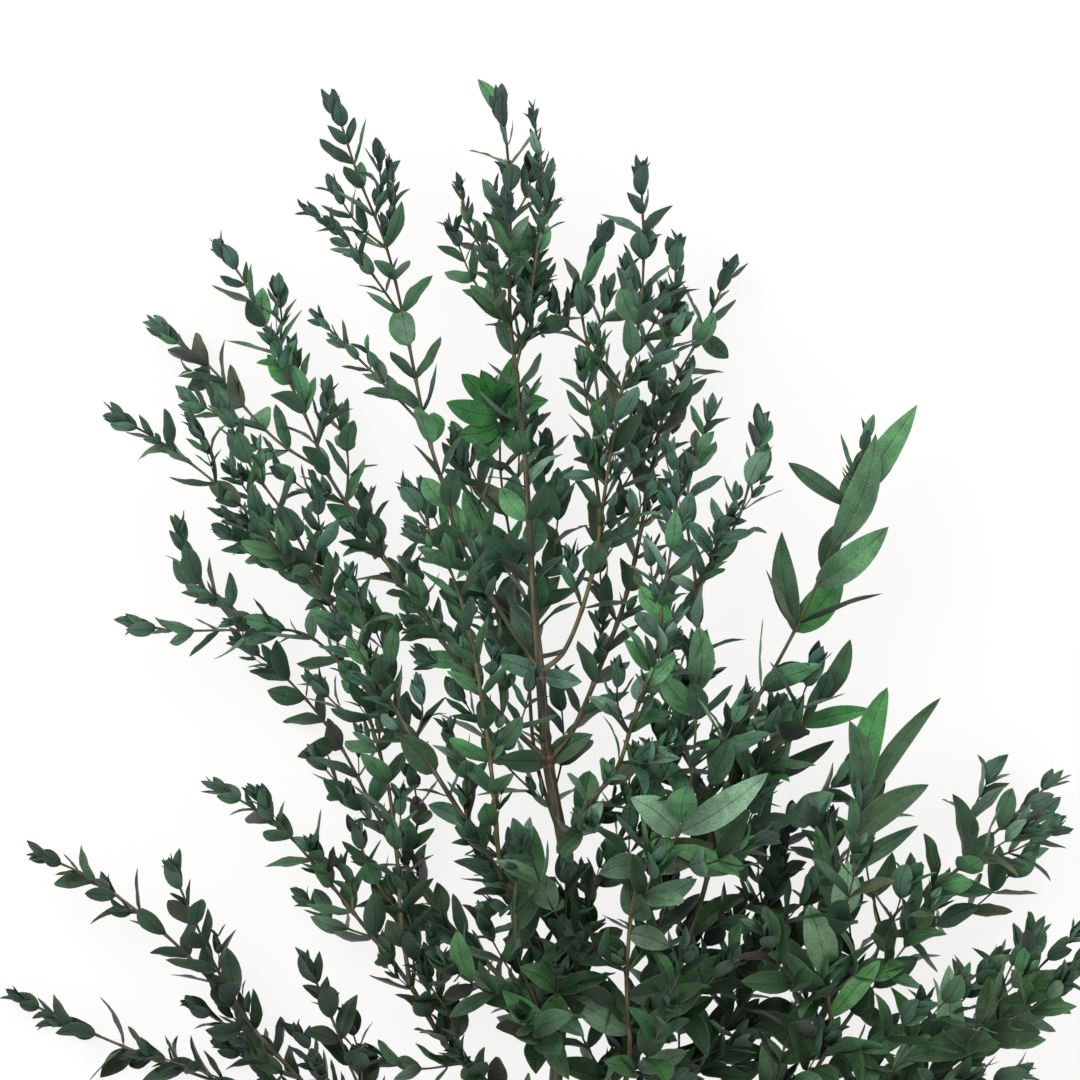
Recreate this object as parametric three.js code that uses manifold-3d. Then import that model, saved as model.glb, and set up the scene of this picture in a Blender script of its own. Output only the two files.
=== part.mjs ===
// A long cut stem of small-leaved eucalyptus, preserved and dried, lying on a table.
// Millimetres. The stem runs along +Y towards its tip, +Z is up and the table is z = 0.
// Routes are drawn about a point beside the stem; the last lines bring the middle of the
// whole stem over the origin.
import * as THREE from "three";
import Module from "manifold-3d";

const wasm = await Module();
wasm.setup();

// Driving sizes
const middleX = 2; // middle of the whole stem, in the frame of the routes
const middleY = -121;
const stemSides = 8; // sides of the main stem and of a shoot
const shootSides = 4;
const ringGap = 30; // about the length of a straight stretch of branch
const cutSlope = 0.7; // how far the slanted cut runs along the stem for each mm across
const collarSwell = 1.28; // the ringed collar where a pair of branches leaves the stem
const collarReach = 3.5;
const seatGap = 0.3; // between a branch's foot and the stem that it grows from
const bladeThickness = 1.1; // over the midrib
const clearGap = 0.35; // kept between leaves of two different branches
const ripening = 52; // length of young growth behind a tip, where leaves are small and close
const tipLeafShare = 0.38; // size of the last leaves against the full-grown ones
const tipGapShare = 0.5; // and the same for the space between pairs
const pairTurn = 67.5; // from each pair of leaves to the next, round the shoot, in degrees
const largeLeaf = 29; // a leaf at least this long has three points to each edge, others two
const footOut = 0.6; // a leaf's foot lies this share of the shoot's radius off its middle line
const aimReach = 4; // a run's direction is read over this length to both sides of a place
const drawSeed = 4.7;

// The main stem from its cut end to its tip: x, y, z and radius
const stemRoute = [
  [2, -440, 3.2, 3.4],
  [2.4, -412, 3.2, 3.4],
  [3, -372, 7, 3.35],
  [4, -338, 13, 3.3],
  [5, -302, 19.5, 3.25],
  [6, -268, 26, 3.2],
  [8, -235, 31, 3.1],
  [11, -205, 35, 3],
  [15.8, -173, 40, 2.9],
  [10.8, -139.5, 44, 2.75],
  [3.6, -100, 48, 2.6],
  [0, -60, 52, 2.3],
  [-3, -27, 54, 1.7],
  [-6, 26, 57, 1.3],
  [-8.5, 56, 59, 1.1],
  [-11, 77, 60, 1],
  [-13.5, 101, 61, 0.9],
  [-13.5, 126, 62, 0.8],
  [-13.5, 158, 63, 0.7],
  [-15.3, 181, 64, 0.6],
  [-17, 194, 64.5, 0.5],
];
// Places in that list where branches leave the stem, from the lowest to the highest
const node = {
  first: 2,
  second: 3,
  third: 4,
  fourth: 5,
  fifth: 6,
  sixth: 7,
  seventh: 8,
  eighth: 9,
  ninth: 10,
  tenth: 11,
};

// Leaf habits: full length, width against length, space between pairs, lean off the shoot,
// and which pairs are solids: every one of the large leaves, every second of the small ones
const small = { long: 22, wide: 0.44, gap: 15, lean: 44, every: 2 };
const fine = { long: 15, wide: 0.43, gap: 10.5, lean: 38, every: 2 };
const round = { long: 19, wide: 0.66, gap: 15, lean: 50, every: 2 };
const large = { long: 37, wide: 0.34, gap: 30, lean: 42, every: 1 };
const broad = { long: 29, wide: 0.47, gap: 26, lean: 50, every: 1 };

// Every shoot of a branch: where it leaves what carries it (a place in that route), its
// route from there, radius at foot and tip, leaf habit, and the bare length at its foot.
// The first shoot leaves the main stem; the others leave the first one, or the one in on.
// Leaves of its own, set by hand: foot x and y, tip x and y, rise to the tip, width and roll.
const branches = {
  left_high_spray: [
    { at: node.tenth, radius: [1.2, 0.5], habit: small, bare: 34,
      route: [[-18, -32, 58], [-36, -1, 64], [-43, 23, 68], [-51, 50, 71], [-61, 99, 74], [-69, 132, 76],
        [-81, 162, 77], [-91, 193, 78]] },
    { at: 4, radius: [0.7, 0.5], habit: fine, bare: 12,
      route: [[-72, 72, 66], [-84, 84, 63], [-99, 99, 61]] },
    { at: 5, radius: [0.6, 0.5], habit: fine, bare: 10,
      route: [[-81, 127, 82], [-91, 138, 86], [-103, 147, 88]] },
    { at: 6, radius: [0.6, 0.5], habit: fine, bare: 8, route: [[-65, 153, 84], [-67, 166, 86]] },
  ],
  left_long_spray: [
    { at: node.ninth, radius: [1.4, 0.5], habit: small, bare: 28,
      route: [[-18, -79, 46], [-42, -49, 42], [-71, -8, 38], [-97, 31, 35], [-103, 48, 35],
        [-117, 79, 36], [-133, 115, 38], [-143, 130, 39]] },
    { at: 4, radius: [0.8, 0.5], habit: small, bare: 14, own: [[-152, 80, -163, 69, -32, 9, 0]],
      route: [[-117, 43, 28], [-130, 55, 23], [-152, 80, 18], [-173, 95, 16]] },
  ],
  left_front_spray: [
    { at: node.seventh, radius: [1.4, 0.5], habit: small, bare: 30,
      route: [[-2, -161, 52], [-16, -151, 62], [-21, -109, 78], [-28, -58, 86], [-37, -21, 90],
        [-45, -3, 92], [-58, 20, 94]] },
  ],
  left_arching_spray: [
    { at: node.sixth, radius: [1.5, 0.5], habit: small, bare: 36,
      own: [[-47, -105, -63, -87, 8, 13, 0]],
      route: [[-9, -166, 44], [-34, -126, 54], [-62, -81, 62], [-94, -28, 65], [-113, 9, 66],
        [-129, 32, 66], [-142, 58, 66]] },
    { at: 4, radius: [0.8, 0.5], habit: small, bare: 12,
      route: [[-106, -14, 72], [-128, 10, 80], [-149, 29, 84], [-171, 45, 85], [-187, 54, 86]] },
  ],
  left_back_spray: [
    { at: node.fifth, radius: [1.4, 0.5], habit: small, bare: 34,
      own: [[-94, -91, -112, -100, -22, 9, 0]],
      route: [[-18, -200, 24], [-47, -170, 16], [-69, -137, 11], [-94, -91, 9], [-117, -63, 9],
        [-136, -48, 10]] },
  ],
  left_low_spray: [
    { at: node.fourth, radius: [1.6, 0.5], habit: small, bare: 55,
      route: [[-20, -250, 30], [-41, -232, 34], [-59, -202, 40], [-81, -173, 46], [-100, -149, 50],
        [-118, -129, 51], [-143, -113, 50]] },
    { at: 3, radius: [1.1, 0.5], habit: small, bare: 14,
      route: [[-63, -171, 45], [-65, -140, 47], [-70, -106, 46], [-84, -66, 44], [-106, -43, 41],
        [-136, -41, 38], [-167, -41, 37], [-183, -38, 37]] },
    { at: 6, on: 1, radius: [0.7, 0.5], habit: small, bare: 8,
      route: [[-147, -28, 34], [-161, -12, 32], [-164, 4, 31]] },
  ],
  low_left_spray: [
    { at: node.second, radius: [1.6, 0.5], habit: small, bare: 125,
      route: [[-54, -293, 18], [-95, -261, 22], [-131, -223, 27], [-160, -190, 30], [-182, -170, 32],
        [-206, -153, 33], [-226, -144, 33]] },
    { at: 3, radius: [0.8, 0.5], habit: small, bare: 10,
      route: [[-146, -196, 38], [-154, -178, 44], [-166, -150, 48]] },
    { at: 2, radius: [1, 0.5], habit: small, bare: 20,
      own: [[-188, -234, -203, -248, -22, 10, 0]],
      route: [[-126, -254, 16], [-153, -247, 12], [-188, -234, 10], [-216, -222, 9], [-238, -211, 9]] },
    { at: 1, radius: [1, 0.5], habit: small, bare: 24,
      route: [[-81, -250, 38], [-92, -221, 50], [-104, -192, 56]] },
  ],
  right_high_spray: [
    { at: node.tenth, radius: [1.2, 0.5], habit: small, bare: 24,
      route: [[11, -50, 54], [22, -21, 57], [27, 7, 60], [24, 41, 58], [26, 65, 56],
        [19, 101, 54], [19, 117, 53], [28, 137, 52]] },
    { at: 3, radius: [0.9, 0.5], habit: small, bare: 14,
      route: [[32, 41, 74], [37, 69, 82], [43, 91, 86], [46, 122, 88], [45, 162, 88]] },
  ],
  right_back_spray: [
    { at: node.ninth, radius: [1.4, 0.5], habit: small, bare: 24,
      route: [[15, -86, 43], [28, -56, 36], [39, -26, 32], [48, 18, 32], [47, 41, 33],
        [52, 66, 34], [57, 91, 35], [61, 112, 36], [62, 131, 36]] },
    { at: 4, radius: [0.9, 0.5], habit: small, bare: 14, own: [[73, 93, 87, 84, -30, 9, 0]],
      route: [[59, 66, 20], [73, 93, 15], [80, 108, 14], [86, 122, 14]] },
  ],
  right_front_spray: [
    { at: node.eighth, radius: [1.3, 0.5], habit: small, bare: 24,
      route: [[18, -124, 62], [26, -113, 76], [35, -100, 88], [42, -77, 98], [51, -52, 104],
        [54, -27, 106], [58, -2, 106], [60, 22, 105]] },
  ],
  right_spray: [
    { at: node.seventh, radius: [1.6, 0.5], habit: small, bare: 32,
      route: [[27, -153, 47], [41, -124, 54], [59, -88, 60], [68, -68, 62], [71, -50, 63], [70, -20, 63],
        [66, 18, 61], [76, 56, 60]] },
    { at: 6, radius: [0.8, 0.5], habit: small, bare: 10,
      route: [[83, -1, 70], [90, 13, 74], [95, 32, 76], [98, 50, 77]] },
  ],
  middle_front_spray: [
    { at: node.third, radius: [1.5, 0.5], habit: broad, bare: 75,
      own: [[62, -130, 101, -103, 10, 14, -8], [61, -131, 40, -114, 8, 15, 10],
        [48, -146, 26, -148, 8, 12, 0],
        [57, -137, 89, -149, 4, 9, 20], [44, -165, 70, -151, 6, 11, 0], [40, -205, 80, -190, -6, 16, 0],
        [69, -77, 52, -58, 8, 11, 0], [68, -68, 70, -38, 6, 12, 0]],
      route: [[20, -275, 34], [39, -243, 50], [39, -190, 70], [45, -149, 82], [62, -130, 90],
        [68, -97, 96], [69, -72, 98], [68, -50, 100]] },
  ],
  right_tall_spray: [
    { at: node.fourth, radius: [1.7, 0.5], habit: large, bare: 60,
      own: [[127, -22, 157, 6, 6, 15, 0], [116, -40, 109, 4, 4, 12, 10], [117, -38, 155, -24, 4, 9, 70],
        [133, -4, 151, 48, 8, 15, -12], [140, 18, 170, 61, 2, 14, 14], [138, 16, 112, 35, -4, 9, 20],
        [105, -59, 127, -62, 6, 10, 0], [142, 22, 160, 34, -12, 7, 0]],
      route: [[43, -236, 34], [63, -190, 42], [76, -151, 46], [79, -104, 48], [98, -72, 50],
        [115, -41, 52], [124, -22, 53], [140, 18, 55], [146, 44, 56]] },
    { at: 3, radius: [0.9, 0.5], habit: large, bare: 22,
      own: [[126, -75, 141, -45, 4, 10, 10], [118, -85, 151, -77, 4, 9, 0],
        [127, -73, 153, -67, -4, 7, 60],
        [112, -94, 120, -70, 6, 10, 0], [101, -108, 134, -91, -2, 9, 10]],
      route: [[90, -131, 40], [102, -107, 36], [118, -85, 34], [129, -70, 33]] },
  ],
  right_dark_spray: [
    { at: node.third, radius: [1.3, 0.5], habit: broad, bare: 85,
      own: [[101, -189, 126, -181, -26, 13, 0]],
      route: [[40, -275, 19], [72, -243, 17], [92, -212, 14], [101, -189, 12], [104, -150, 11],
        [101, -122, 11]] },
  ],
  low_right_spray: [
    { at: node.second, radius: [1.7, 0.5], habit: large, bare: 150,
      own: [[144, -117, 139, -81, 4, 12, 10], [143, -117, 156, -66, 6, 14, -10],
        [141, -124, 181, -71, -6, 9, 10],
        [139, -135, 175, -110, 2, 13, 0], [136, -150, 170, -128, 8, 10, 30],
        [133, -168, 124, -128, 6, 11, 20]],
      route: [[40, -318, 18], [72, -297, 22], [113, -257, 31], [131, -229, 38], [130, -199, 50],
        [135, -160, 57], [144, -118, 60]] },
    { at: 4, radius: [1, 0.5], habit: broad, bare: 8,
      route: [[144, -212, 32], [162, -171, 26], [183, -157, 24], [203, -138, 24], [232, -112, 25]] },
  ],
  far_right_spray: [
    { at: node.first, radius: [1.5, 0.5], habit: broad, bare: 185,
      own: [[202, -225, 164, -234, 6, 14, 0], [203, -225, 226, -222, 8, 15, 10]],
      route: [[60, -335, 12], [117, -293, 20], [162, -257, 34], [202, -225, 46], [225, -194, 50],
        [240, -180, 52]] },
  ],
  back_spray: [
    { at: node.eighth, radius: [1.1, 0.5], habit: broad, bare: 60,
      own: [[-14, 0, -38, 8, -28, 13, 0]],
      route: [[-2, -99, 32], [-6, -50, 18], [-12, -9, 12], [-18, 30, 10], [-18, 62, 11]] },
  ],
  middle_left_spray: [
    { at: node.fifth, radius: [1.2, 0.5], habit: broad, bare: 24,
      own: [[-9, -175, -3, -127, 10, 14, 10], [-11, -172, -17, -146, 12, 13, -15]],
      route: [[0, -212, 52], [-9, -189, 70], [-11, -162, 82], [-9, -138, 88]] },
  ],
  middle_low_spray: [
    { at: node.sixth, radius: [1, 0.5], habit: round, bare: 14,
      route: [[20, -198, 46], [24, -185, 55], [22, -168, 62], [19, -150, 67]] },
  ],
};

// Leafy shoots of the main stem itself, above its last pair of branches
const leaderShoots = [
  { at: 15, radius: [0.7, 0.5], habit: fine, bare: 8,
    route: [[-6, 97, 66], [-2, 124, 72], [2, 153, 75], [-3, 190, 76]] },
  { at: 16, radius: [0.7, 0.5], habit: fine, bare: 8,
    route: [[-23, 125, 55], [-32, 142, 51], [-36, 160, 49]] },
];
const leader = { from: 12, habit: small, radius: [2, 0.5] };

const stemBrown = 0x5b4434;
const leafGreen = 0x2f4b39;

function vector(point) {
  return new THREE.Vector3(point[0], point[1], point[2]);
}

// A repeatable draw from 0 to 1 for a leaf and one of its traits
function draw(key, trait) {
  const wave = Math.sin(key * 12.9898 + trait * 78.233 + drawSeed) * 43758.5453;
  return wave - Math.floor(wave);
}

function smooth(share) {
  const t = Math.min(Math.max(share, 0), 1);
  return t * t * (3 - 2 * t);
}

// Places on a smooth line through the points: cubic pieces whose slopes at the points follow
// the chords on both sides, each piece cut into straight stretches of about the gap
function smoothPlaces(points, gap) {
  const chord = [0];
  for (let i = 1; i < points.length; i += 1) {
    chord.push(chord[i - 1] + points[i].distanceTo(points[i - 1]));
  }
  const slope = points.map((point, i) => {
    const before = Math.max(i - 1, 0);
    const after = Math.min(i + 1, points.length - 1);
    return points[after].clone().sub(points[before]).divideScalar(chord[after] - chord[before]);
  });
  const places = [points[0].clone()];
  const atPoint = [0];
  for (let i = 0; i + 1 < points.length; i += 1) {
    const span = chord[i + 1] - chord[i];
    const steps = Math.max(Math.round(span / gap), 1);
    for (let k = 1; k <= steps; k += 1) {
      const t = k / steps;
      const place = points[i].clone().multiplyScalar(2 * t ** 3 - 3 * t ** 2 + 1);
      place.addScaledVector(slope[i], (t ** 3 - 2 * t ** 2 + t) * span);
      place.addScaledVector(points[i + 1], 3 * t ** 2 - 2 * t ** 3);
      place.addScaledVector(slope[i + 1], (t ** 3 - t ** 2) * span);
      places.push(place);
    }
    atPoint.push(places.length - 1);
  }
  return { places, atPoint };
}

// A run of straight stretches, with the length up to each of its places and up to each of
// the points that it was drawn through
function runThrough(points) {
  const { places, atPoint } = smoothPlaces(points, ringGap);
  const lengths = [0];
  for (let i = 1; i < places.length; i += 1) {
    lengths.push(lengths[i - 1] + places[i].distanceTo(places[i - 1]));
  }
  return { places, lengths, toPoint: atPoint.map((i) => lengths[i]), total: lengths[lengths.length - 1] };
}

function placeAt(run, distance) {
  const d = Math.min(Math.max(distance, 0), run.total);
  let i = 1;
  while (run.lengths[i] < d) {
    i += 1;
  }
  const share = (d - run.lengths[i - 1]) / (run.lengths[i] - run.lengths[i - 1]);
  return run.places[i - 1].clone().lerp(run.places[i], share);
}

// Along the run, and square to it: level, and as near upright as it can be
function axesAt(run, distance) {
  const along = placeAt(run, distance + aimReach);
  along.sub(placeAt(run, distance - aimReach)).normalize();
  const level = new THREE.Vector3().crossVectors(along, new THREE.Vector3(0, 0, 1)).normalize();
  const upright = new THREE.Vector3().crossVectors(level, along);
  return { along, level, upright };
}

function solidFrom(points, faces) {
  const vertProperties = new Float32Array(points.flatMap((p) => [p.x, p.y, p.z]));
  const triVerts = new Uint32Array(faces.flat());
  return new wasm.Manifold(new wasm.Mesh({ numProp: 3, vertProperties, triVerts }));
}

// A round stick along a run: one ring at each distance, closed by a flat fan at both ends
function stickAlong(run, distances, radiusAt, sides, endSlope) {
  const points = [];
  const faces = [];
  distances.forEach((distance, ring) => {
    const centre = placeAt(run, distance);
    const { along, level, upright } = axesAt(run, distance);
    for (let k = 0; k < sides; k += 1) {
      const angle = ((k + 0.5) / sides) * 2 * Math.PI - Math.PI / 2;
      const across = radiusAt(distance) * Math.cos(angle);
      const height = radiusAt(distance) * Math.sin(angle);
      const point = centre.clone().addScaledVector(level, across).addScaledVector(upright, height);
      if (ring === 0) {
        point.addScaledVector(along, endSlope * height);
      }
      points.push(point);
    }
  });
  for (let ring = 0; ring + 1 < distances.length; ring += 1) {
    for (let k = 0; k < sides; k += 1) {
      const a = ring * sides + k;
      const b = ring * sides + ((k + 1) % sides);
      faces.push([a, b + sides, b], [a, a + sides, b + sides]);
    }
  }
  const last = (distances.length - 1) * sides;
  for (let k = 1; k + 1 < sides; k += 1) {
    faces.push([0, k, k + 1], [last, last + k + 1, last + k]);
  }
  return solidFrom(points, faces);
}

// The half-width of a leaf at a share of its length: round near the foot, drawn out to the tip
function halfWidth(leaf, share) {
  return (leaf.wide / 2) * (share / 0.4) ** 0.62 * ((1 - share) / 0.6) ** 0.93;
}

// Edge and midrib stations of a leaf blade, and how its upper face on one side is divided.
// r is the foot, t the tip, e an edge point and m a midrib point, counted from the foot.
const largeBlade = {
  edge: [0.2, 0.48, 0.78],
  rib: [0.27, 0.66],
  faces: ["r m0 e0", "e0 m0 e1", "e1 m0 m1", "e1 m1 e2", "e2 m1 t"],
};
const smallBlade = { edge: [0.27, 0.65], rib: [0.42], faces: ["r m0 e0", "e0 m0 e1", "e1 m0 t"] };

// A leaf as a lens: edges sharp, both faces raised over the midrib, folded up a little along
// it and bent along its length. What would go below the table is pressed flat on it.
function leafSolid(leaf, swell) {
  const blade = leaf.long >= largeLeaf ? largeBlade : smallBlade;
  const n = blade.edge.length;
  const m = blade.rib.length;
  const grown = { ...leaf, wide: leaf.wide + 2 * swell };
  const rib = (share) =>
    leaf.foot
      .clone()
      .addScaledVector(leaf.along, share * (leaf.long + swell))
      .addScaledVector(leaf.face, leaf.bend * share ** 2 * leaf.long);
  const edge = (share, side) =>
    rib(share)
      .addScaledVector(leaf.across, side * halfWidth(grown, share) * Math.cos(leaf.fold))
      .addScaledVector(leaf.face, halfWidth(grown, share) * Math.sin(leaf.fold));
  const half = bladeThickness / 2 + swell;
  const points = [rib(0), rib(1)];
  blade.edge.forEach((share) => points.push(edge(share, 1)));
  blade.edge.forEach((share) => points.push(edge(share, -1)));
  blade.rib.forEach((share) => points.push(rib(share).addScaledVector(leaf.face, half)));
  blade.rib.forEach((share) => points.push(rib(share).addScaledVector(leaf.face, -half)));
  points.forEach((point) => {
    point.z = Math.max(point.z, -swell);
  });
  for (let k = 0; k < m; k += 1) {
    const upper = points[2 + 2 * n + k + (leaf.face.z < 0 ? m : 0)];
    const lower = points[2 + 2 * n + k + (leaf.face.z < 0 ? 0 : m)];
    if (lower.z === -swell) {
      upper.z = Math.max(upper.z, lower.z + half);
    }
  }
  const index = (word, side, under) => {
    const k = Number(word.slice(1));
    const places = { r: 0, t: 1, e: 2 + (side > 0 ? 0 : n) + k, m: 2 + 2 * n + (under ? m : 0) + k };
    return places[word[0]];
  };
  const faces = [];
  [1, -1].forEach((side) => {
    [false, true].forEach((under) => {
      blade.faces.forEach((words) => {
        const face = words.split(" ").map((word) => index(word, side, under));
        faces.push(side > 0 === under ? face.reverse() : face);
      });
    });
  });
  return solidFrom(points, faces);
}

function radiusOf(shoot, distance) {
  return THREE.MathUtils.lerp(shoot.radius[0], shoot.radius[1], distance / shoot.run.total);
}

// The ways that a leaf may be turned out of the way of its neighbours, in the order tried:
// round the shoot, and closer to it or further from it
const waysOut = [
  { round: 0, lean: 0 },
  { round: 28, lean: -4 },
  { round: -28, lean: -4 },
  { round: 0, lean: -18 },
  { round: 0, lean: 16 },
  { round: 56, lean: -8 },
  { round: -56, lean: -8 },
];

// One leaf of a pair: it stands off the shoot at its lean, its upper face towards the tip
function pairedLeaf(shoot, distance, pair, side, way) {
  const key = shoot.key * 1000 + pair * 2 + side;
  const spread = (trait, reach) => (draw(key, trait) - 0.5) * 2 * reach;
  const radians = THREE.MathUtils.degToRad;
  const ripe = smooth((shoot.run.total - distance) / ripening);
  const { along, level, upright } = axesAt(shoot.run, distance);
  const turned = shoot.phase + pair * pairTurn + side * 180 + spread(1, 18) + way.round;
  const lean = radians(shoot.habit.lean * (0.5 + 0.5 * ripe) + spread(2, 11) + way.lean);
  const outward = level.clone().multiplyScalar(Math.cos(radians(turned)));
  outward.addScaledVector(upright, Math.sin(radians(turned)));
  const forward = along.clone().multiplyScalar(Math.cos(lean)).addScaledVector(outward, Math.sin(lean));
  const inner = along.clone().addScaledVector(forward, -along.dot(forward)).normalize();
  const sideways = new THREE.Vector3().crossVectors(inner, forward);
  const twist = radians(spread(3, 55));
  const across = sideways.clone().multiplyScalar(Math.cos(twist)).addScaledVector(inner, Math.sin(twist));
  const face = inner.multiplyScalar(Math.cos(twist)).addScaledVector(sideways, -Math.sin(twist));
  const long = shoot.habit.long * (tipLeafShare + (1 - tipLeafShare) * ripe) * (1 + spread(4, 0.14));
  return {
    foot: placeAt(shoot.run, distance).addScaledVector(outward, footOut * radiusOf(shoot, distance)),
    along: forward,
    across,
    face,
    long,
    wide: long * shoot.habit.wide * (1 + spread(5, 0.14)),
    bend: -0.02 + spread(6, 0.12),
    fold: radians(13 + spread(7, 9)),
  };
}

// A leaf set by hand. With no roll about its own length its face is turned up.
function ownLeaf(shoot, [footX, footY, tipX, tipY, rise, wide, roll]) {
  const aside = (place) => Math.hypot(place.x - footX, place.y - footY);
  const count = Math.floor(shoot.run.total);
  const steps = Array.from({ length: count }, (unused, i) => placeAt(shoot.run, i));
  const foot = steps.reduce((best, place) => (aside(place) < aside(best) ? place : best));
  const along = new THREE.Vector3(tipX - foot.x, tipY - foot.y, rise);
  const long = along.length();
  along.normalize();
  const upper = new THREE.Vector3(0, 0, 1).addScaledVector(along, -along.z).normalize();
  const sideways = new THREE.Vector3().crossVectors(upper, along);
  const turn = THREE.MathUtils.degToRad(roll);
  const across = sideways.clone().multiplyScalar(Math.cos(turn)).addScaledVector(upper, Math.sin(turn));
  const face = upper.multiplyScalar(Math.cos(turn)).addScaledVector(sideways, -Math.sin(turn));
  return { foot, along, across, face, long, wide, bend: 0, fold: THREE.MathUtils.degToRad(12) };
}

// Distances along a shoot of its leaf pairs, from the tip down to its bare foot
function pairDistances(shoot) {
  const distances = [];
  let fromTip = 1.5;
  while (fromTip < shoot.run.total - shoot.bare) {
    distances.push(shoot.run.total - fromTip);
    const ripe = smooth(fromTip / ripening);
    fromTip += shoot.habit.gap * (tipGapShare + (1 - tipGapShare) * ripe);
  }
  return distances;
}

// Solids already in place, with their boxes, so that a new leaf is tried against its neighbours
const placed = [];

function putDown(branch, foot, solid) {
  placed.push({ branch, foot, solid, box: solid.boundingBox() });
}

function boxesMeet(a, b) {
  return [0, 1, 2].every((axis) => a.min[axis] <= b.max[axis] && b.min[axis] <= a.max[axis]);
}

// Clear of all that belongs to other branches, and of this branch's other leaves
function isClear(branch, leaf) {
  const tried = leafSolid(leaf, clearGap);
  const box = tried.boundingBox();
  return placed.every((other) => {
    const own = other.branch === branch;
    const beside = own && (other.foot === null || other.foot.distanceTo(leaf.foot) < 2);
    return beside || !boxesMeet(box, other.box) || tried.intersect(other.solid).isEmpty();
  });
}

// Each pair of a shoot, with every leaf turned to the first way that is clear, or left off
function leavesOf(branch, shoot) {
  const solids = [];
  (shoot.own ?? []).forEach((numbers) => {
    const leaf = ownLeaf(shoot, numbers);
    if (isClear(branch, leaf)) {
      const solid = leafSolid(leaf, 0);
      putDown(branch, leaf.foot, solid);
      solids.push(solid);
    }
  });
  pairDistances(shoot).forEach((distance, pair) => {
    const sides = pair % shoot.habit.every === 0 ? [0, 1] : [];
    sides.forEach((side) => {
      const leaf = waysOut
        .map((way) => pairedLeaf(shoot, distance, pair, side, way))
        .find((turned) => isClear(branch, turned));
      if (leaf) {
        const solid = leafSolid(leaf, 0);
        putDown(branch, leaf.foot, solid);
        solids.push(solid);
      }
    });
  });
  return solids;
}

function shootStick(shoot) {
  return stickAlong(shoot.run, shoot.run.lengths, (distance) => radiusOf(shoot, distance), shootSides, 0);
}

// Gives each shoot its run, from the place where it leaves the stem or another shoot
function drawnShoots(shoots, firstKey, fromStem) {
  const routes = [];
  return shoots.map((shoot, i) => {
    const carrier = i === 0 || fromStem ? stemRoute : routes[shoot.on ?? 0];
    const route = [carrier[shoot.at], ...shoot.route];
    routes.push(route);
    const key = firstKey + i;
    return { ...shoot, key, run: runThrough(route.map(vector)), phase: draw(key, 9) * 90 };
  });
}

const stemRun = runThrough(stemRoute.map(vector));

// The stem's radius: straight between the points of its route, swollen at its collars
function stemRadius(distance) {
  let i = 1;
  while (i + 1 < stemRoute.length && stemRun.toPoint[i] < distance) {
    i += 1;
  }
  const share = (distance - stemRun.toPoint[i - 1]) / (stemRun.toPoint[i] - stemRun.toPoint[i - 1]);
  const plain = THREE.MathUtils.lerp(stemRoute[i - 1][3], stemRoute[i][3], Math.min(share, 1));
  const nearest = Math.min(...Object.values(node).map((at) => Math.abs(stemRun.toPoint[at] - distance)));
  return plain * (1 + (collarSwell - 1) * smooth(1 - nearest / collarReach));
}

function stemRings() {
  const collars = Object.values(node).flatMap((at) =>
    [-collarReach, collarReach].map((off) => stemRun.toPoint[at] + off),
  );
  return [...stemRun.lengths, ...collars].sort((a, b) => a - b);
}

function stemStick(swell) {
  return stickAlong(stemRun, stemRings(), (d) => stemRadius(d) + swell, stemSides, cutSlope);
}

function fused(solids) {
  const whole = solids.reduce((sum, solid) => sum.add(solid));
  return whole.decompose().sort((a, b) => b.volume() - a.volume())[0];
}

function meshOf(name, solid, colour) {
  const made = solid.getMesh();
  const geometry = new THREE.BufferGeometry();
  geometry.setAttribute("position", new THREE.BufferAttribute(made.vertProperties, made.numProp));
  geometry.setIndex(new THREE.BufferAttribute(made.triVerts, 1));
  geometry.computeVertexNormals();
  const material = new THREE.MeshStandardMaterial({ color: colour, roughness: 0.6, flatShading: true });
  const mesh = new THREE.Mesh(geometry, material);
  mesh.name = name;
  return mesh;
}

// All the wood first, then the leaves, so that each leaf keeps clear of every branch
const stemWood = stemStick(0);
const stemShoots = drawnShoots(leaderShoots, 1, true);
const topShoot = { ...leader, key: 0, run: stemRun, phase: 0, bare: stemRun.toPoint[leader.from] };
const stemSticks = stemShoots.map(shootStick);
[stemWood, ...stemSticks].forEach((stick) => putDown("main_stem", null, stick));

const drawnBranches = Object.entries(branches).map(([name, shoots], i) => {
  const drawn = drawnShoots(shoots, 10 * (i + 1), false);
  const sticks = drawn.map(shootStick);
  sticks.forEach((stick) => putDown(name, null, stick));
  return { name, drawn, sticks };
});

const stem = new THREE.Group();
const stemLeaves = [topShoot, ...stemShoots].flatMap((shoot) => leavesOf("main_stem", shoot));
stem.add(meshOf("main_stem", fused([stemWood, ...stemSticks, ...stemLeaves]), stemBrown));

const stemSeat = stemStick(seatGap);
drawnBranches.forEach(({ name, drawn, sticks }) => {
  const leaves = drawn.flatMap((shoot) => leavesOf(name, shoot));
  const solids = [...sticks, ...leaves].map((solid) => solid.subtract(stemSeat));
  stem.add(meshOf(name, fused(solids), leafGreen));
});

stem.position.set(-middleX, -middleY, 0);

export default stem;
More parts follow.
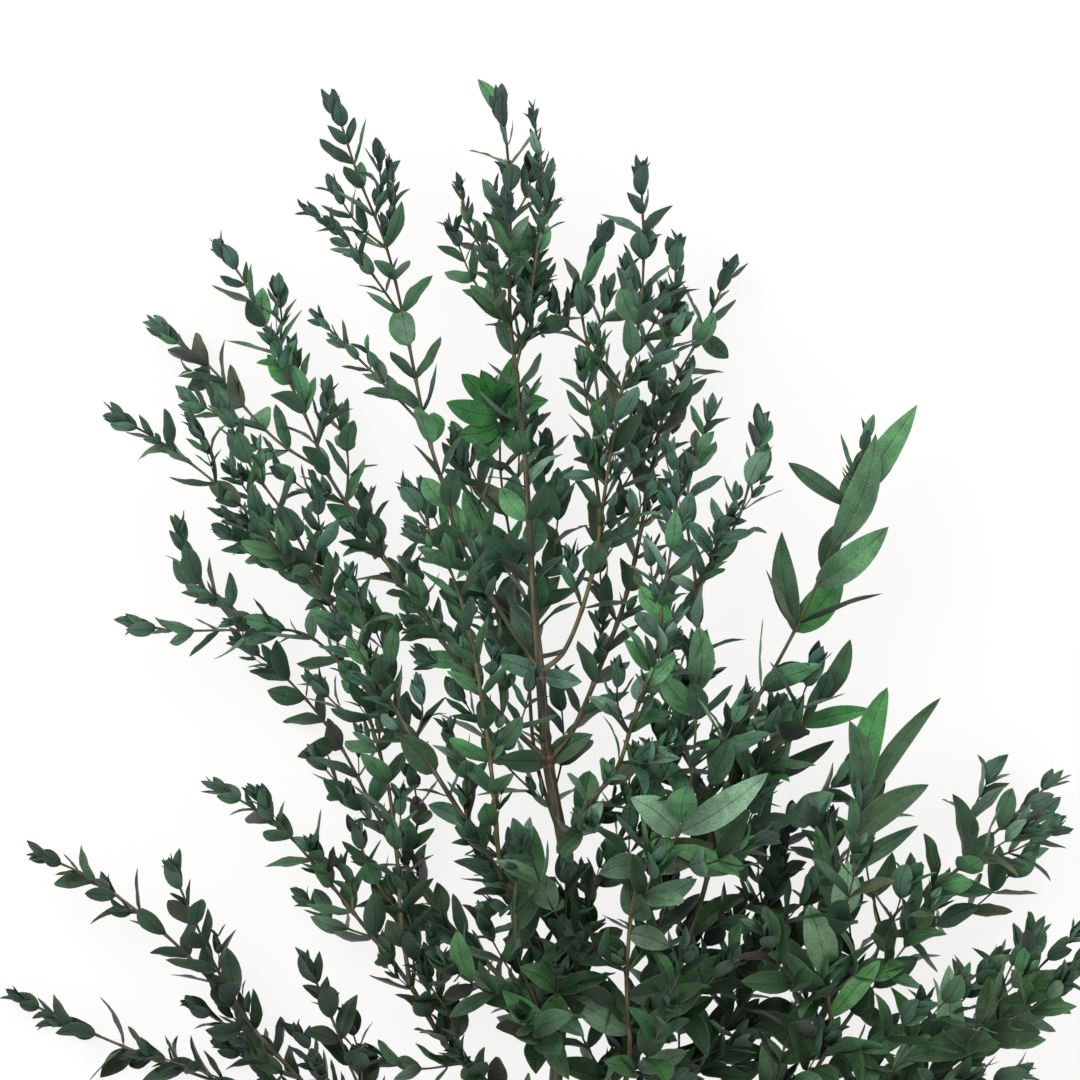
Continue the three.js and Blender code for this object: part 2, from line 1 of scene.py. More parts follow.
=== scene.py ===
import bpy
import numpy as np
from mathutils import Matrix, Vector


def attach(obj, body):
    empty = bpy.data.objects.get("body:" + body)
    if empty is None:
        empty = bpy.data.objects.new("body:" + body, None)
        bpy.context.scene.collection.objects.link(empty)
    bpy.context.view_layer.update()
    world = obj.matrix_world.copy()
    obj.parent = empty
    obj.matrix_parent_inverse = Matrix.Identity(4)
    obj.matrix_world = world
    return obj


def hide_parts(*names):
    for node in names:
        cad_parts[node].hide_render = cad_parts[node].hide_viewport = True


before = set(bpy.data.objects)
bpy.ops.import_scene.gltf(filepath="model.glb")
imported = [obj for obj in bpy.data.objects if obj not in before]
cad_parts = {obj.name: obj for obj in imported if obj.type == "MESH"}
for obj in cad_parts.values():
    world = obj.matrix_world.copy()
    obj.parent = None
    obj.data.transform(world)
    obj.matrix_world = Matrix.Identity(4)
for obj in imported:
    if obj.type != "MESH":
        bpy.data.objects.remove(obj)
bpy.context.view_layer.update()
print("frame loaded:", len(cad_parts), "nodes")

# How the stem grew, as in the solids. Millimetres and degrees; routes are drawn about a point
# beside the stem, and middle is where the frame's origin lies in them. A swing is the whole
# width of a draw about its middle value.
growth = {
    "middle": (2.0, -121.0, 0.0),
    "stretch": 30.0,  # the solids' branches are straight over about this length
    "aimReach": 4.0,  # a run's direction is read over this length to both sides
    "tipRadius": 0.5,
    "footOut": 0.6,  # a leaf's foot lies this share of the radius off the middle line
    "ripening": 52.0,  # length of young growth behind a tip
    "tipLeafShare": 0.38,  # length of leaves at a tip, against ripe ones
    "tipGapShare": 0.5,  # space between pairs there, against ripe ones
    "tipLeanShare": 0.5,
    "firstPair": 1.5,  # from the tip
    "firstTurn": 90.0,  # a shoot's first pair stands anywhere within this turn
    "pairTurn": 67.5,  # round the shoot, from pair to pair
    "turnSwing": 36.0,
    "leanSwing": 22.0,
    "sizeSwing": 0.28,  # of the length, and of the width against it
    "twist": 110.0,  # swing about a leaf's own length
    "bend": (-0.14, 0.1),  # of the tip towards the upper face, against the length
    "fold": (4.0, 22.0),  # of the two halves along the midrib
    "handFold": 12.0,  # of listed leaves
    "tipMatch": 0.08,  # a solid leaf is the one whose tip lies this close
    # leaves that the solids don't have: bend is how much more they bend
    "plain": {"twist": 40.0, "ripening": 32.0, "tipLeafShare": 0.58, "bend": 2.2},
}

# Leaf habits: full length, width against length, space between pairs, lean off the shoot,
# and which pairs the solids have
habits = {
    "small": {"long": 22, "wide": 0.44, "gap": 15, "lean": 44, "every": 2},
    "fine": {"long": 15, "wide": 0.43, "gap": 10.5, "lean": 38, "every": 2},
    "round": {"long": 19, "wide": 0.66, "gap": 15, "lean": 50, "every": 2},
    "large": {"long": 37, "wide": 0.34, "gap": 30, "lean": 42, "every": 1},
    "broad": {"long": 29, "wide": 0.47, "gap": 26, "lean": 50, "every": 1},
    "side": {"long": 18, "wide": 0.46, "gap": 12, "lean": 46, "every": 1},
    "broadSide": {"long": 25, "wide": 0.47, "gap": 17, "lean": 50, "every": 1},
}

# The main stem from its cut end to its tip: x, y, z and radius, and the places in that list
# where pairs of branches leave it
mainStem = {
    "route": [
        (2, -440, 3.2, 3.4), (2.4, -412, 3.2, 3.4), (3, -372, 7, 3.35), (4, -338, 13, 3.3),
        (5, -302, 19.5, 3.25), (6, -268, 26, 3.2), (8, -235, 31, 3.1), (11, -205, 35, 3),
        (15.8, -173, 40, 2.9), (10.8, -139.5, 44, 2.75), (3.6, -100, 48, 2.6), (0, -60, 52, 2.3),
        (-3, -27, 54, 1.7), (-6, 26, 57, 1.3), (-8.5, 56, 59, 1.1), (-11, 77, 60, 1),
        (-13.5, 101, 61, 0.9), (-13.5, 126, 62, 0.8), (-13.5, 158, 63, 0.7), (-15.3, 181, 64, 0.6),
        (-17, 194, 64.5, 0.5),
    ],
    "nodes": {"first": 2, "second": 3, "third": 4, "fourth": 5, "fifth": 6, "sixth": 7,
              "seventh": 8, "eighth": 9, "ninth": 10, "tenth": 11},
    "sides": 20,
    "step": 2.0,  # from ring to ring
    "collarSwell": 0.28,
    "collarReach": 3.5,
    "collarSteps": np.linspace(-4, 4, 9),  # closer rings round a node
    "flutes": ((0.02, 0.21), (0.012, 0.83)),  # depth against the radius, and turns a millimetre
    # brown and pale lines round a node: how far off it, their width and their share of the tint
    "ring": (1.0, 0.8, 0.75),
    "scar": (2.2, 0.35, 0.7),
    "collarTint": 0.25,  # brown all over a collar
    "cutSlope": 0.7,
    "cutFace": [(0.04, "pith"), (0.14, "pith"), (0.16, "cutWood"), (0.5, "cutWood"), (0.86, "cutWood"),
                (0.93, "cutRim"), (0.99, "cutRim")],  # rings, as shares of the radius
    "leafyFrom": 12,  # the place in the route above which leaves stand
    "leaf": {"thick": 2, "sidesWithin": (90, 200), "late": [
        (-20, 190, -28, 207, 1, 7.5, 12, "middle"), (-1, -60, -21, -52, 3, 9, 0, "bluish"),
        (1, -60, 19, -64, 3, 9, 10, "bluish"), (2, -100, -20, -99, 4, 11, 0, "forest"),
        (5, -100, 24, -88, -4, 11, 0, "forest")]},
    "shoots": [
        dict(at=15, thick=0.7, habit="fine", bare=8,
             route=[(-6, 97, 66), (-2, 124, 72), (2, 153, 75), (-3, 190, 76)]),
        dict(at=16, thick=0.7, habit="fine", bare=8,
             route=[(-23, 125, 55), (-32, 142, 51), (-36, 160, 49)]),
    ],
}

# Every shoot of a spray: where it leaves what carries it (a place in that route), its radius
# there (thick), its leaf habit where it isn't small, the bare length at its foot, and its
# route. The first shoot leaves the main stem; the others leave the first one, or the one in
# on. Leaves in own and late are listed: foot x and y, tip x and y, rise to the tip,
# width, roll and perhaps a colour's name. The solids have those in own as well.
sprays = {
    "left_high_spray": [
        dict(at="tenth", thick=1.2, bare=34, sidesWithin=(120, 200),
             route=[(-18, -32, 58), (-36, -1, 64), (-43, 23, 68), (-51, 50, 71), (-61, 99, 74),
               (-69, 132, 76), (-81, 162, 77), (-91, 193, 78)]),
        dict(at=4, thick=0.7, habit="fine", bare=12,
             route=[(-72, 72, 66), (-84, 84, 63), (-99, 99, 61)]),
        dict(at=5, thick=0.6, habit="fine", bare=10,
             route=[(-81, 127, 82), (-91, 138, 86), (-103, 147, 88)]),
        dict(at=6, thick=0.6, habit="fine", bare=8, route=[(-65, 153, 84), (-67, 166, 86)]),
    ],
    "left_long_spray": [
        dict(at="ninth", thick=1.4, bare=28,
             route=[(-18, -79, 46), (-42, -49, 42), (-71, -8, 38), (-97, 31, 35), (-103, 48, 35),
               (-117, 79, 36), (-133, 115, 38), (-143, 130, 39)]),
        dict(at=4, thick=0.8, bare=14, own=[(-152, 80, -163, 69, -32, 9, 0)],
             route=[(-117, 43, 28), (-130, 55, 23), (-152, 80, 18), (-173, 95, 16)]),
    ],
    "left_front_spray": [
        dict(at="seventh", thick=1.4, bare=30,
             route=[(-2, -161, 52), (-16, -151, 62), (-21, -109, 78), (-28, -58, 86), (-37, -21, 90),
               (-45, -3, 92), (-58, 20, 94)]),
    ],
    "left_arching_spray": [
        dict(at="sixth", thick=1.5, bare=36,
             own=[(-47, -105, -63, -87, 8, 13, 0)],
             route=[(-9, -166, 44), (-34, -126, 54), (-62, -81, 62), (-94, -28, 65), (-113, 9, 66),
               (-129, 32, 66), (-142, 58, 66)]),
        dict(at=4, thick=0.8, bare=12,
             route=[(-106, -14, 72), (-128, 10, 80), (-149, 29, 84), (-171, 45, 85), (-187, 54, 86)]),
    ],
    "left_back_spray": [
        dict(at="fifth", thick=1.4, bare=34,
             own=[(-94, -91, -112, -100, -22, 9, 0)],
             route=[(-18, -200, 24), (-47, -170, 16), (-69, -137, 11), (-94, -91, 9), (-117, -63, 9),
               (-136, -48, 10)]),
    ],
    "left_low_spray": [
        dict(at="fourth", thick=1.6, bare=55,
             route=[(-20, -250, 30), (-41, -232, 34), (-59, -202, 40), (-81, -173, 46), (-100, -149, 50),
               (-118, -129, 51), (-143, -113, 50)]),
        dict(at=3, thick=1.1, bare=14,
             route=[(-63, -171, 45), (-65, -140, 47), (-70, -106, 46), (-84, -66, 44), (-106, -43, 41),
               (-136, -41, 38), (-167, -41, 37), (-183, -38, 37)]),
        dict(at=6, on=1, thick=0.7, bare=8,
             route=[(-147, -28, 34), (-161, -12, 32), (-164, 4, 31)]),
    ],
    "low_left_spray": [
        dict(at="second", thick=1.6, bare=125, sidesWithin=(-400, -218),
             route=[(-54, -293, 18), (-95, -261, 22), (-131, -223, 27), (-160, -190, 30),
               (-182, -170, 32), (-206, -153, 33), (-226, -144, 33)]),
        dict(at=3, thick=0.8, bare=10, sidesWithin=(-400, -218),
             route=[(-146, -196, 38), (-154, -178, 44), (-166, -150, 48)]),
        dict(at=2, thick=1, bare=20, sidesWithin=(-400, -240),
             own=[(-188, -234, -203, -248, -22, 10, 0)],
             route=[(-126, -254, 16), (-153, -247, 12), (-188, -234, 10), (-216, -222, 9),
               (-238, -211, 9)]),
        dict(at=1, thick=1, bare=24,
             route=[(-81, -250, 38), (-92, -221, 50), (-104, -192, 56)]),
    ],
    "right_high_spray": [
        dict(at="tenth", thick=1.2, bare=24,
             route=[(11, -50, 54), (22, -21, 57), (27, 7, 60), (24, 41, 58), (26, 65, 56),
               (19, 101, 54), (19, 117, 53), (28, 137, 52)]),
        dict(at=3, thick=0.9, bare=14,
             route=[(32, 41, 74), (37, 69, 82), (43, 91, 86), (46, 122, 88), (45, 162, 88)]),
    ],
    "right_back_spray": [
        dict(at="ninth", thick=1.4, bare=24,
             route=[(15, -86, 43), (28, -56, 36), (39, -26, 32), (48, 18, 32), (47, 41, 33),
               (52, 66, 34), (57, 91, 35), (61, 112, 36), (62, 131, 36)]),
        dict(at=4, thick=0.9, bare=14, own=[(73, 93, 87, 84, -30, 9, 0)],
             route=[(59, 66, 20), (73, 93, 15), (80, 108, 14), (86, 122, 14)]),
    ],
    "right_front_spray": [
        dict(at="eighth", thick=1.3, bare=24,
             route=[(18, -124, 62), (26, -113, 76), (35, -100, 88), (42, -77, 98), (51, -52, 104),
               (54, -27, 106), (58, -2, 106), (60, 22, 105)],
             late=[(52, -46, 53, -25, 3, 9.5, 0, "bright"), (53, -33, 44, -20, 2, 8, 10, "middle"),
               (49, -58, 37, -44, -3, 8, 0, "bright")]),
    ],
    "right_spray": [
        dict(at="seventh", thick=1.6, bare=32,
             route=[(27, -153, 47), (41, -124, 54), (59, -88, 60), (68, -68, 62), (71, -50, 63),
               (70, -20, 63), (66, 18, 61), (76, 56, 60)]),
        dict(at=6, thick=0.8, bare=10,
             route=[(83, -1, 70), (90, 13, 74), (95, 32, 76), (98, 50, 77)]),
    ],
    "middle_front_spray": [
        dict(at="third", thick=1.5, habit="broad", bare=75,
             own=[(62, -130, 101, -103, 10, 14, -8, "dusty"), (61, -131, 40, -114, 8, 15, 10, "dusty"),
               (48, -146, 26, -148, 8, 12, 0, "dusty"), (57, -137, 89, -149, 4, 9, 20, "middle"),
               (44, -165, 70, -151, 6, 11, 0, "bluish"), (40, -205, 80, -190, -6, 16, 0, "deep"),
               (69, -77, 52, -58, 8, 11, 0), (68, -68, 70, -38, 6, 12, 0)],
             route=[(20, -275, 34), (39, -243, 50), (39, -190, 70), (45, -149, 82), (62, -130, 90),
               (68, -97, 96), (69, -72, 98), (68, -50, 100)],
             late=[(69, -64, 74, -40, 3, 11, 8, "bright"), (69, -77, 52, -57, 4, 10.5, 0, "bright"),
               (68, -90, 82, -91, 2, 5.5, 30, "bright"), (61, -134, 45, -141, 2, 7, 0, "bright"),
               (41, -222, 14, -206, -4, 13, 0, "dusty"), (40, -214, 62, -226, -6, 12, 20, "middle"),
               (39, -190, 22, -176, 4, 12, -10, "forest"), (40, -176, 58, -182, 2, 11, 0, "dusty")]),
    ],
    "right_tall_spray": [
        dict(at="fourth", thick=1.7, habit="large", bare=60, sidesWithin=(-400, -105),
             own=[(127, -22, 157, 6, 6, 15, 0, "middle"), (116, -40, 109, 4, 4, 12, 10, "forest"),
               (117, -38, 155, -24, 4, 9, 70), (133, -4, 151, 48, 8, 15, -12, "forest"),
               (140, 18, 170, 61, 2, 14, 14, "middle"), (138, 16, 112, 35, -4, 9, 20, "forest"),
               (105, -59, 127, -62, 6, 10, 0), (142, 22, 160, 34, -12, 7, 0)],
             route=[(43, -236, 34), (63, -190, 42), (76, -151, 46), (79, -104, 48), (98, -72, 50),
               (115, -41, 52), (124, -22, 53), (140, 18, 55), (146, 44, 56)]),
        dict(at=3, thick=0.9, habit="large", bare=22, sidesWithin=(-400, -105),
             own=[(126, -75, 141, -45, 4, 10, 10), (118, -85, 151, -77, 4, 9, 0),
               (127, -73, 153, -67, -4, 7, 60),
               (112, -94, 120, -70, 6, 10, 0), (101, -108, 134, -91, -2, 9, 10)],
             route=[(90, -131, 40), (102, -107, 36), (118, -85, 34), (129, -70, 33)]),
    ],
    "right_dark_spray": [
        dict(at="third", thick=1.3, habit="broad", bare=85,
             own=[(101, -189, 126, -181, -26, 13, 0)],
             route=[(40, -275, 19), (72, -243, 17), (92, -212, 14), (101, -189, 12), (104, -150, 11),
               (101, -122, 11)]),
    ],
    "low_right_spray": [
        dict(at="second", thick=1.7, habit="large", bare=150, sidesWithin=(-400, -150),
             own=[(144, -117, 139, -81, 4, 12, 10, "deep"), (143, -117, 156, -66, 6, 14, -10, "bright"),
               (141, -124, 181, -71, -6, 9, 10, "deep"), (139, -135, 175, -110, 2, 13, 0, "deep"),
               (136, -150, 170, -128, 8, 10, 30, "bluish"), (133, -168, 124, -128, 6, 11, 20, "forest")],
             route=[(40, -318, 18), (72, -297, 22), (113, -257, 31), (131, -229, 38), (130, -199, 50),
               (135, -160, 57), (144, -118, 60)],
             late=[(130, -198, 121, -164, 8, 15, 0, "dusty"), (131, -216, 154, -190, 4, 10, 0, "middle"),
               (127, -236, 98, -214, -6, 14, 10, "deep")]),
        dict(at=4, thick=1, habit="broad", bare=8,
             route=[(144, -212, 32), (162, -171, 26), (183, -157, 24), (203, -138, 24), (232, -112, 25)]),
    ],
    "far_right_spray": [
        dict(at="first", thick=1.5, habit="broad", bare=185,
             own=[(202, -225, 164, -234, 6, 14, 0), (203, -225, 226, -222, 8, 15, 10)],
             route=[(60, -335, 12), (117, -293, 20), (162, -257, 34), (202, -225, 46), (225, -194, 50),
               (240, -180, 52)],
             late=[(188, -236, 185, -192, 6, 13, 0, "dusty"), (206, -221, 229, -226, 2, 12, 30, "middle"),
               (222, -199, 240, -214, 2, 10, 0, "bright")]),
    ],
    "back_spray": [
        dict(at="eighth", thick=1.1, habit="broad", bare=60,
             own=[(-14, 0, -38, 8, -28, 13, 0)],
             route=[(-2, -99, 32), (-6, -50, 18), (-12, -9, 12), (-18, 30, 10), (-18, 62, 11)],
             # these bright leaves are painted light: low leaves shown as if lit through from behind
             late=[(-18, 57, -43, 63, 8, 12, 0, "bright"), (-18, 60, -36, 76, 10, 10, 0, "bright"),
               (-18, 61, -27, 78, 14, 10, 10, "bright"), (-18, 61, -12, 84, 16, 11, -10, "bright"),
               (-18, 58, 4, 64, 10, 11, 10, "bright"), (-18, 52, -38, 48, 6, 11, 0, "bright"),
               (-18, 50, -29, 36, 4, 9, 0, "bright"), (-18, 50, 0, 42, 4, 10, 0, "bright")]),
    ],
    "middle_left_spray": [
        dict(at="fifth", thick=1.2, habit="broad", bare=24, sidesWithin=(-400, -190),
             own=[(-9, -175, -3, -127, 10, 14, 10, "middle"),
               (-11, -172, -17, -146, 12, 13, -15, "bluish")],
             route=[(0, -212, 52), (-9, -189, 70), (-11, -162, 82), (-9, -138, 88)]),
    ],
    "middle_low_spray": [
        dict(at="sixth", thick=1, habit="round", bare=14,
             route=[(20, -198, 46), (24, -185, 55), (22, -168, 62), (19, -150, 67)]),
    ],
}
# Sprays with leaves of another mood or brightness than the common ones
sprayMoods = {
    "middle_front_spray": ("dusty", 0.98), "middle_left_spray": ("dusty", 1.0),
    "middle_low_spray": ("dusty", 1.0), "right_spray": ("dusty", 1.05),
    "right_front_spray": ("dusty", 1.05), "right_dark_spray": ("dark", 1.0),
    "back_spray": ("fresh", 1.0), "low_left_spray": ("dark", 0.5), "right_back_spray": ("dark", 0.95),
    "right_tall_spray": ("fresh", 0.85), "low_right_spray": ("mixed", 1.5),
    "far_right_spray": ("mixed", 1.6), "left_back_spray": ("dark", 0.95),
    "left_low_spray": ("common", 0.9), "left_arching_spray": ("common", 0.9),
}


def colour(code):  # a hex colour as linear red, green and blue
    shares = np.array([int(code[i:i + 2], 16) for i in (1, 3, 5)]) / 255
    return np.where(shares <= 0.04045, shares / 12.92, ((shares + 0.055) / 1.055) ** 2.4)


# Repeatable draws from 0 to 1: the broken part of a large sine of a key and of the number of
# what is drawn. Each shoot has its own thousand keys, and its leaf pairs have the first ones.
drawing = {"key": 12.9898, "trait": 78.233, "seed": 4.7, "size": 43758.5453}
keys = {"shoot": 1000, "side": 400, "own": 900, "late": 930, "tip": 950}
traits = {
    "turn": 1, "lean": 2, "twist": 3, "long": 4, "wide": 5, "bend": 6, "fold": 7, "phase": 9,
    "sickle": 11, "arch": 12, "waveStart": 13, "waves": 14, "footPower": 15, "tipPower": 16,
    "colour": 21, "violet": 22, "youth": 23, "bright": 24, "paintedFootShade": 25,
    "sprig": 31, "sprigLong": 32, "sprigLean": 33, "sprigAside": 34,
    "stalkTurn": 41, "stalkSwing": 42, "stalkLean": 43, "stalkTwist": 44, "stalkLong": 45,
    "stalkWide": 46, "stalkBend": 47, "stalkFold": 48,
    "side": 51, "sideLong": 52, "sideLean": 53, "sideTurn": 54, "sidePhase": 55,
    "bareFoot": 61, "sunny": 62,
}


def draw(key, trait):
    number = traits[trait] * drawing["trait"]
    wave = np.sin(key * drawing["key"] + number + drawing["seed"]) * drawing["size"]
    return wave - np.floor(wave)


def between(limits, share):
    low, high = limits
    return low + (high - low) * share


def swing(key, trait, width):  # a draw with half the width to both sides of zero
    return (draw(key, trait) - 0.5) * width


def blend(base, other, share):
    return base * (1 - share) + other * share


def smooth(share):  # 3t squared less 2t cubed, with t kept from 0 to 1
    t = np.clip(share, 0.0, 1.0)
    return t * t * (3 - 2 * t)


def grown(shoot, name):  # a shoot's own value, or the one that all have
    return shoot.get(name, growth[name])


def unit(vectors):
    return vectors / np.linalg.norm(vectors, axis=-1, keepdims=True)


def dot(a, b):
    return np.sum(a * b, axis=-1, keepdims=True)


# A place on a run's cubic pieces: q counts whole pieces, and its fraction is the share of one
def cubicAt(run, q):
    piece = np.clip(np.floor(q).astype(int), 0, len(run["span"]) - 1)
    t = (q - piece)[..., None]
    span = run["span"][piece][..., None]
    start, end = run["points"][piece], run["points"][piece + 1]
    startSlope, endSlope = run["slope"][piece], run["slope"][piece + 1]
    return (start * (2 * t**3 - 3 * t**2 + 1) + startSlope * (t**3 - 2 * t**2 + t) * span
            + end * (3 * t**2 - 2 * t**3) + endSlope * (t**3 - t**2) * span)


# A smooth line through given points, whose slope at each follows the chords on both
# sides, with the lengths along the straight stretches that the solids have in its place
def runThrough(route):
    points = np.array([point[:3] for point in route], float)
    count = len(points)
    chord = np.append(0, np.cumsum(np.linalg.norm(np.diff(points, axis=0), axis=1)))
    before = np.maximum(np.arange(count) - 1, 0)
    after = np.minimum(np.arange(count) + 1, count - 1)
    slope = (points[after] - points[before]) / (chord[after] - chord[before])[:, None]
    run = {"points": points, "slope": slope, "span": np.diff(chord)}
    steps = np.maximum(np.floor(run["span"] / growth["stretch"] + 0.5), 1).astype(int)
    pieces = np.repeat(np.arange(count - 1), steps)
    turn = np.arange(len(pieces)) - np.repeat(np.cumsum(steps) - steps, steps) + 1
    run["knots"] = np.append(0, pieces + turn / np.repeat(steps, steps))
    run["places"] = cubicAt(run, run["knots"])
    stretch = np.linalg.norm(np.diff(run["places"], axis=0), axis=1)
    run["lengths"] = np.append(0, np.cumsum(stretch))
    run["total"] = run["lengths"][-1]
    run["toPoint"] = run["lengths"][np.append(0, np.cumsum(steps))]
    return run


def straightAt(run, distance):  # on the solids' straight stretches
    return np.stack([np.interp(distance, run["lengths"], run["places"][:, i]) for i in range(3)], -1)


def curveAt(run, distance):  # on the smooth line
    return cubicAt(run, np.interp(distance, run["lengths"], run["knots"]))


def squareTo(along):  # level, and as near upright as it can be
    level = unit(np.cross(along, [0.0, 0.0, 1.0]))
    return level, np.cross(level, along)


# Along a run, and the two directions square to it
def axesAt(run, distance, place=straightAt):
    reach = growth["aimReach"]
    total = run["total"]
    ahead = place(run, np.clip(distance + reach, 0, total))
    along = unit(ahead - place(run, np.clip(distance - reach, 0, total)))
    return along, *squareTo(along)


# Gives each shoot its run, its radii and its key for draws; the first one leaves the main
# stem, the others the first, or the one in on
def drawnShoots(shoots, firstKey, fromStem):
    routes, drawn = [], []
    for i, shoot in enumerate(shoots):
        carrier = mainStem["route"] if i == 0 or fromStem else routes[shoot.get("on", 0)]
        at = mainStem["nodes"].get(shoot["at"], shoot["at"])
        routes.append([carrier[at][:3], *shoot["route"]])
        kind = shoot.get("habit", "small")
        drawn.append({**shoot, "key": firstKey + i, "run": runThrough(routes[-1]),
                      "radius": (shoot["thick"], growth["tipRadius"]),
                      "phase": draw(firstKey + i, "phase") * growth["firstTurn"],
                      "habit": habits[kind], "kind": kind})
    return drawn


def radiusOf(shoot, distance):
    foot, tip = shoot["radius"]
    return foot + (tip - foot) * distance / shoot["run"]["total"]


# The ways that a leaf may have turned out of its neighbours' way: round the shoot, and lean
waysOut = np.array([(0, 0), (28, -4), (-28, -4), (0, -18), (0, 16), (56, -8), (-56, -8)], float)


# How leaves stand: off their stem at the lean, turned round it, the upper face towards its
# tip, and twisted about their own length. All angles are in radians.
def standing(along, level, upright, turned, lean, twist):
    turned, lean, twist = turned[..., None], lean[..., None], twist[..., None]
    outward = level * np.cos(turned) + upright * np.sin(turned)
    forward = along * np.cos(lean) + outward * np.sin(lean)
    inner = unit(along - forward * dot(along, forward))
    sideways = np.cross(inner, forward)
    return {
        "along": forward,
        "across": sideways * np.cos(twist) + inner * np.sin(twist),
        "face": inner * np.cos(twist) - sideways * np.sin(twist),
        "outward": outward,
        "stemAlong": np.broadcast_to(along, forward.shape),
    }


def chosen(leaves, rows):
    return {name: values[rows] for name, values in leaves.items()}


def joined(lists):  # several lots as one
    return {name: np.concatenate([each[name] for each in lists]) for name in lists[0]}


def bothSides(pairs):  # each pair twice, and the side of each of its leaves
    return np.repeat(pairs, 2), np.tile([0, 1], len(pairs))


# The leaves of a shoot's pairs. ways is a column of ways out, and every array in the result
# has a row for each way.
def pairedLeaves(shoot, distance, pair, side, ways):
    run, habit = shoot["run"], shoot["habit"]
    key = shoot["key"] * keys["shoot"] + pair * 2 + side
    ripe = smooth((run["total"] - distance) / grown(shoot, "ripening"))
    along, level, upright = axesAt(run, distance)
    aside = swing(key, "turn", growth["turnSwing"]) + ways[:, :1]
    turned = np.radians(shoot["phase"] + pair * growth["pairTurn"] + side * 180 + aside)
    ripeLean = habit["lean"] * between((growth["tipLeanShare"], 1), ripe)
    lean = np.radians(ripeLean + swing(key, "lean", growth["leanSwing"]) + ways[:, 1:])
    twist = np.radians(swing(key, "twist", grown(shoot, "twist")))
    size = between((grown(shoot, "tipLeafShare"), 1), ripe)
    long = habit["long"] * size * (1 + swing(key, "long", growth["sizeSwing"]))
    leaves = standing(along, level, upright, turned, lean, twist)
    rows = np.ones((len(ways), 1))
    foot = straightAt(run, distance)
    off = leaves["outward"] * growth["footOut"] * radiusOf(shoot, distance)[:, None]
    return {
        **leaves,
        "foot": foot + off,
        "shift": np.broadcast_to(curveAt(run, distance) - foot, off.shape),
        "long": long * rows,
        "wide": long * habit["wide"] * (1 + swing(key, "wide", growth["sizeSwing"])) * rows,
        "bend": between(growth["bend"], draw(key, "bend")) * rows,
        "fold": np.radians(between(growth["fold"], draw(key, "fold"))) * rows,
        "ripe": ripe * rows,
        "key": key * rows,
        "named": np.full((len(ways), len(distance)), -1),
    }


# Listed leaves, which face up but for their roll. The foot of each lies on the run at
# the place nearest to the given one. named is the place of its colour in leafColours, or -1.
def handLeaves(shoot, listed, firstKey):
    run = shoot["run"]
    numbers = np.array([leaf[:7] for leaf in listed], float)
    steps = straightAt(run, np.arange(int(run["total"]), dtype=float))
    aside = np.hypot(steps[None, :, 0] - numbers[:, :1], steps[None, :, 1] - numbers[:, 1:2])
    nearest = np.argmin(aside, axis=1)
    foot = steps[nearest]
    along = np.column_stack([numbers[:, 2:4] - foot[:, :2], numbers[:, 4]])
    long = np.linalg.norm(along, axis=1)
    along = unit(along)
    upper = unit(np.array([0.0, 0.0, 1.0]) - along * along[:, 2:])
    sideways = np.cross(upper, along)
    roll = np.radians(numbers[:, 6:7])
    distance = nearest.astype(float)
    count = len(numbers)
    return {
        "foot": foot,
        "shift": curveAt(run, distance) - foot,
        "along": along,
        "across": sideways * np.cos(roll) + upper * np.sin(roll),
        "face": upper * np.cos(roll) - sideways * np.sin(roll),
        "outward": sideways,
        "stemAlong": axesAt(run, distance)[0],
        "long": long,
        "wide": numbers[:, 5],
        "bend": np.zeros(count),
        "fold": np.full(count, np.radians(growth["handFold"])),
        "ripe": np.ones(count),
        "key": shoot["key"] * keys["shoot"] + firstKey + np.arange(count),
        "named": np.array([namedColours.index(leaf[7]) if len(leaf) > 7 else -1 for leaf in listed]),
    }


# A leaf's tip: its length along, and its bend times its length towards its upper face
def tipsOf(leaves):
    long = leaves["long"][..., None]
    tips = leaves["foot"] + leaves["along"] * long + leaves["face"] * leaves["bend"][..., None] * long
    tips[..., 2] = np.maximum(tips[..., 2], 0)
    return tips


# The leaves that the solids have, each by the way out on which a corner of the solid is its tip
def leavesInSolid(leaves, corners):
    gaps = np.linalg.norm(tipsOf(leaves)[..., None, :] - corners, axis=-1).min(axis=-1)
    met = gaps < growth["tipMatch"]
    way = np.argmax(met, axis=0)
    kept = np.nonzero(met.any(axis=0))[0]
    return chosen(leaves, (way[kept], kept))


# Pairs of a shoot that the solids don't have, numbered on from first. They bend more and
# twist less, so that those at the sides are seen edge on.
def plainPairs(shoot, distance, first):
    plain = growth["plain"]
    number, side = bothSides(np.arange(len(distance)))
    leaves = pairedLeaves({**plain, **shoot}, distance[number], first + number, side, waysOut[:1])
    return chosen({**leaves, "bend": leaves["bend"] * plain["bend"]}, 0)


# Distances along a shoot of its leaf pairs, from the tip down to its bare foot
def pairDistances(shoot):
    total, fromTip, distances = shoot["run"]["total"], growth["firstPair"], []
    while fromTip < total - shoot["bare"]:
        distances.append(total - fromTip)
        ripe = float(smooth(fromTip / grown(shoot, "ripening")))
        fromTip += shoot["habit"]["gap"] * between((growth["tipGapShare"], 1), ripe)
    return np.array(distances)


# Small leaves on a straight stalk. keySteps tell the leaves of one stalk apart, from pair to
# pair and from side to side.
stalk = {
    "keySteps": (0.13, 0.31),
    "pairTurn": 84,
    "turnSwing": 40,
    "leanSwing": 20,
    "twist": 90,
    "long": (0.8, 1.2),
    "wide": (0.85, 1.15),
    "bend": (-0.18, 0.12),
    "fold": (10, 24),
}
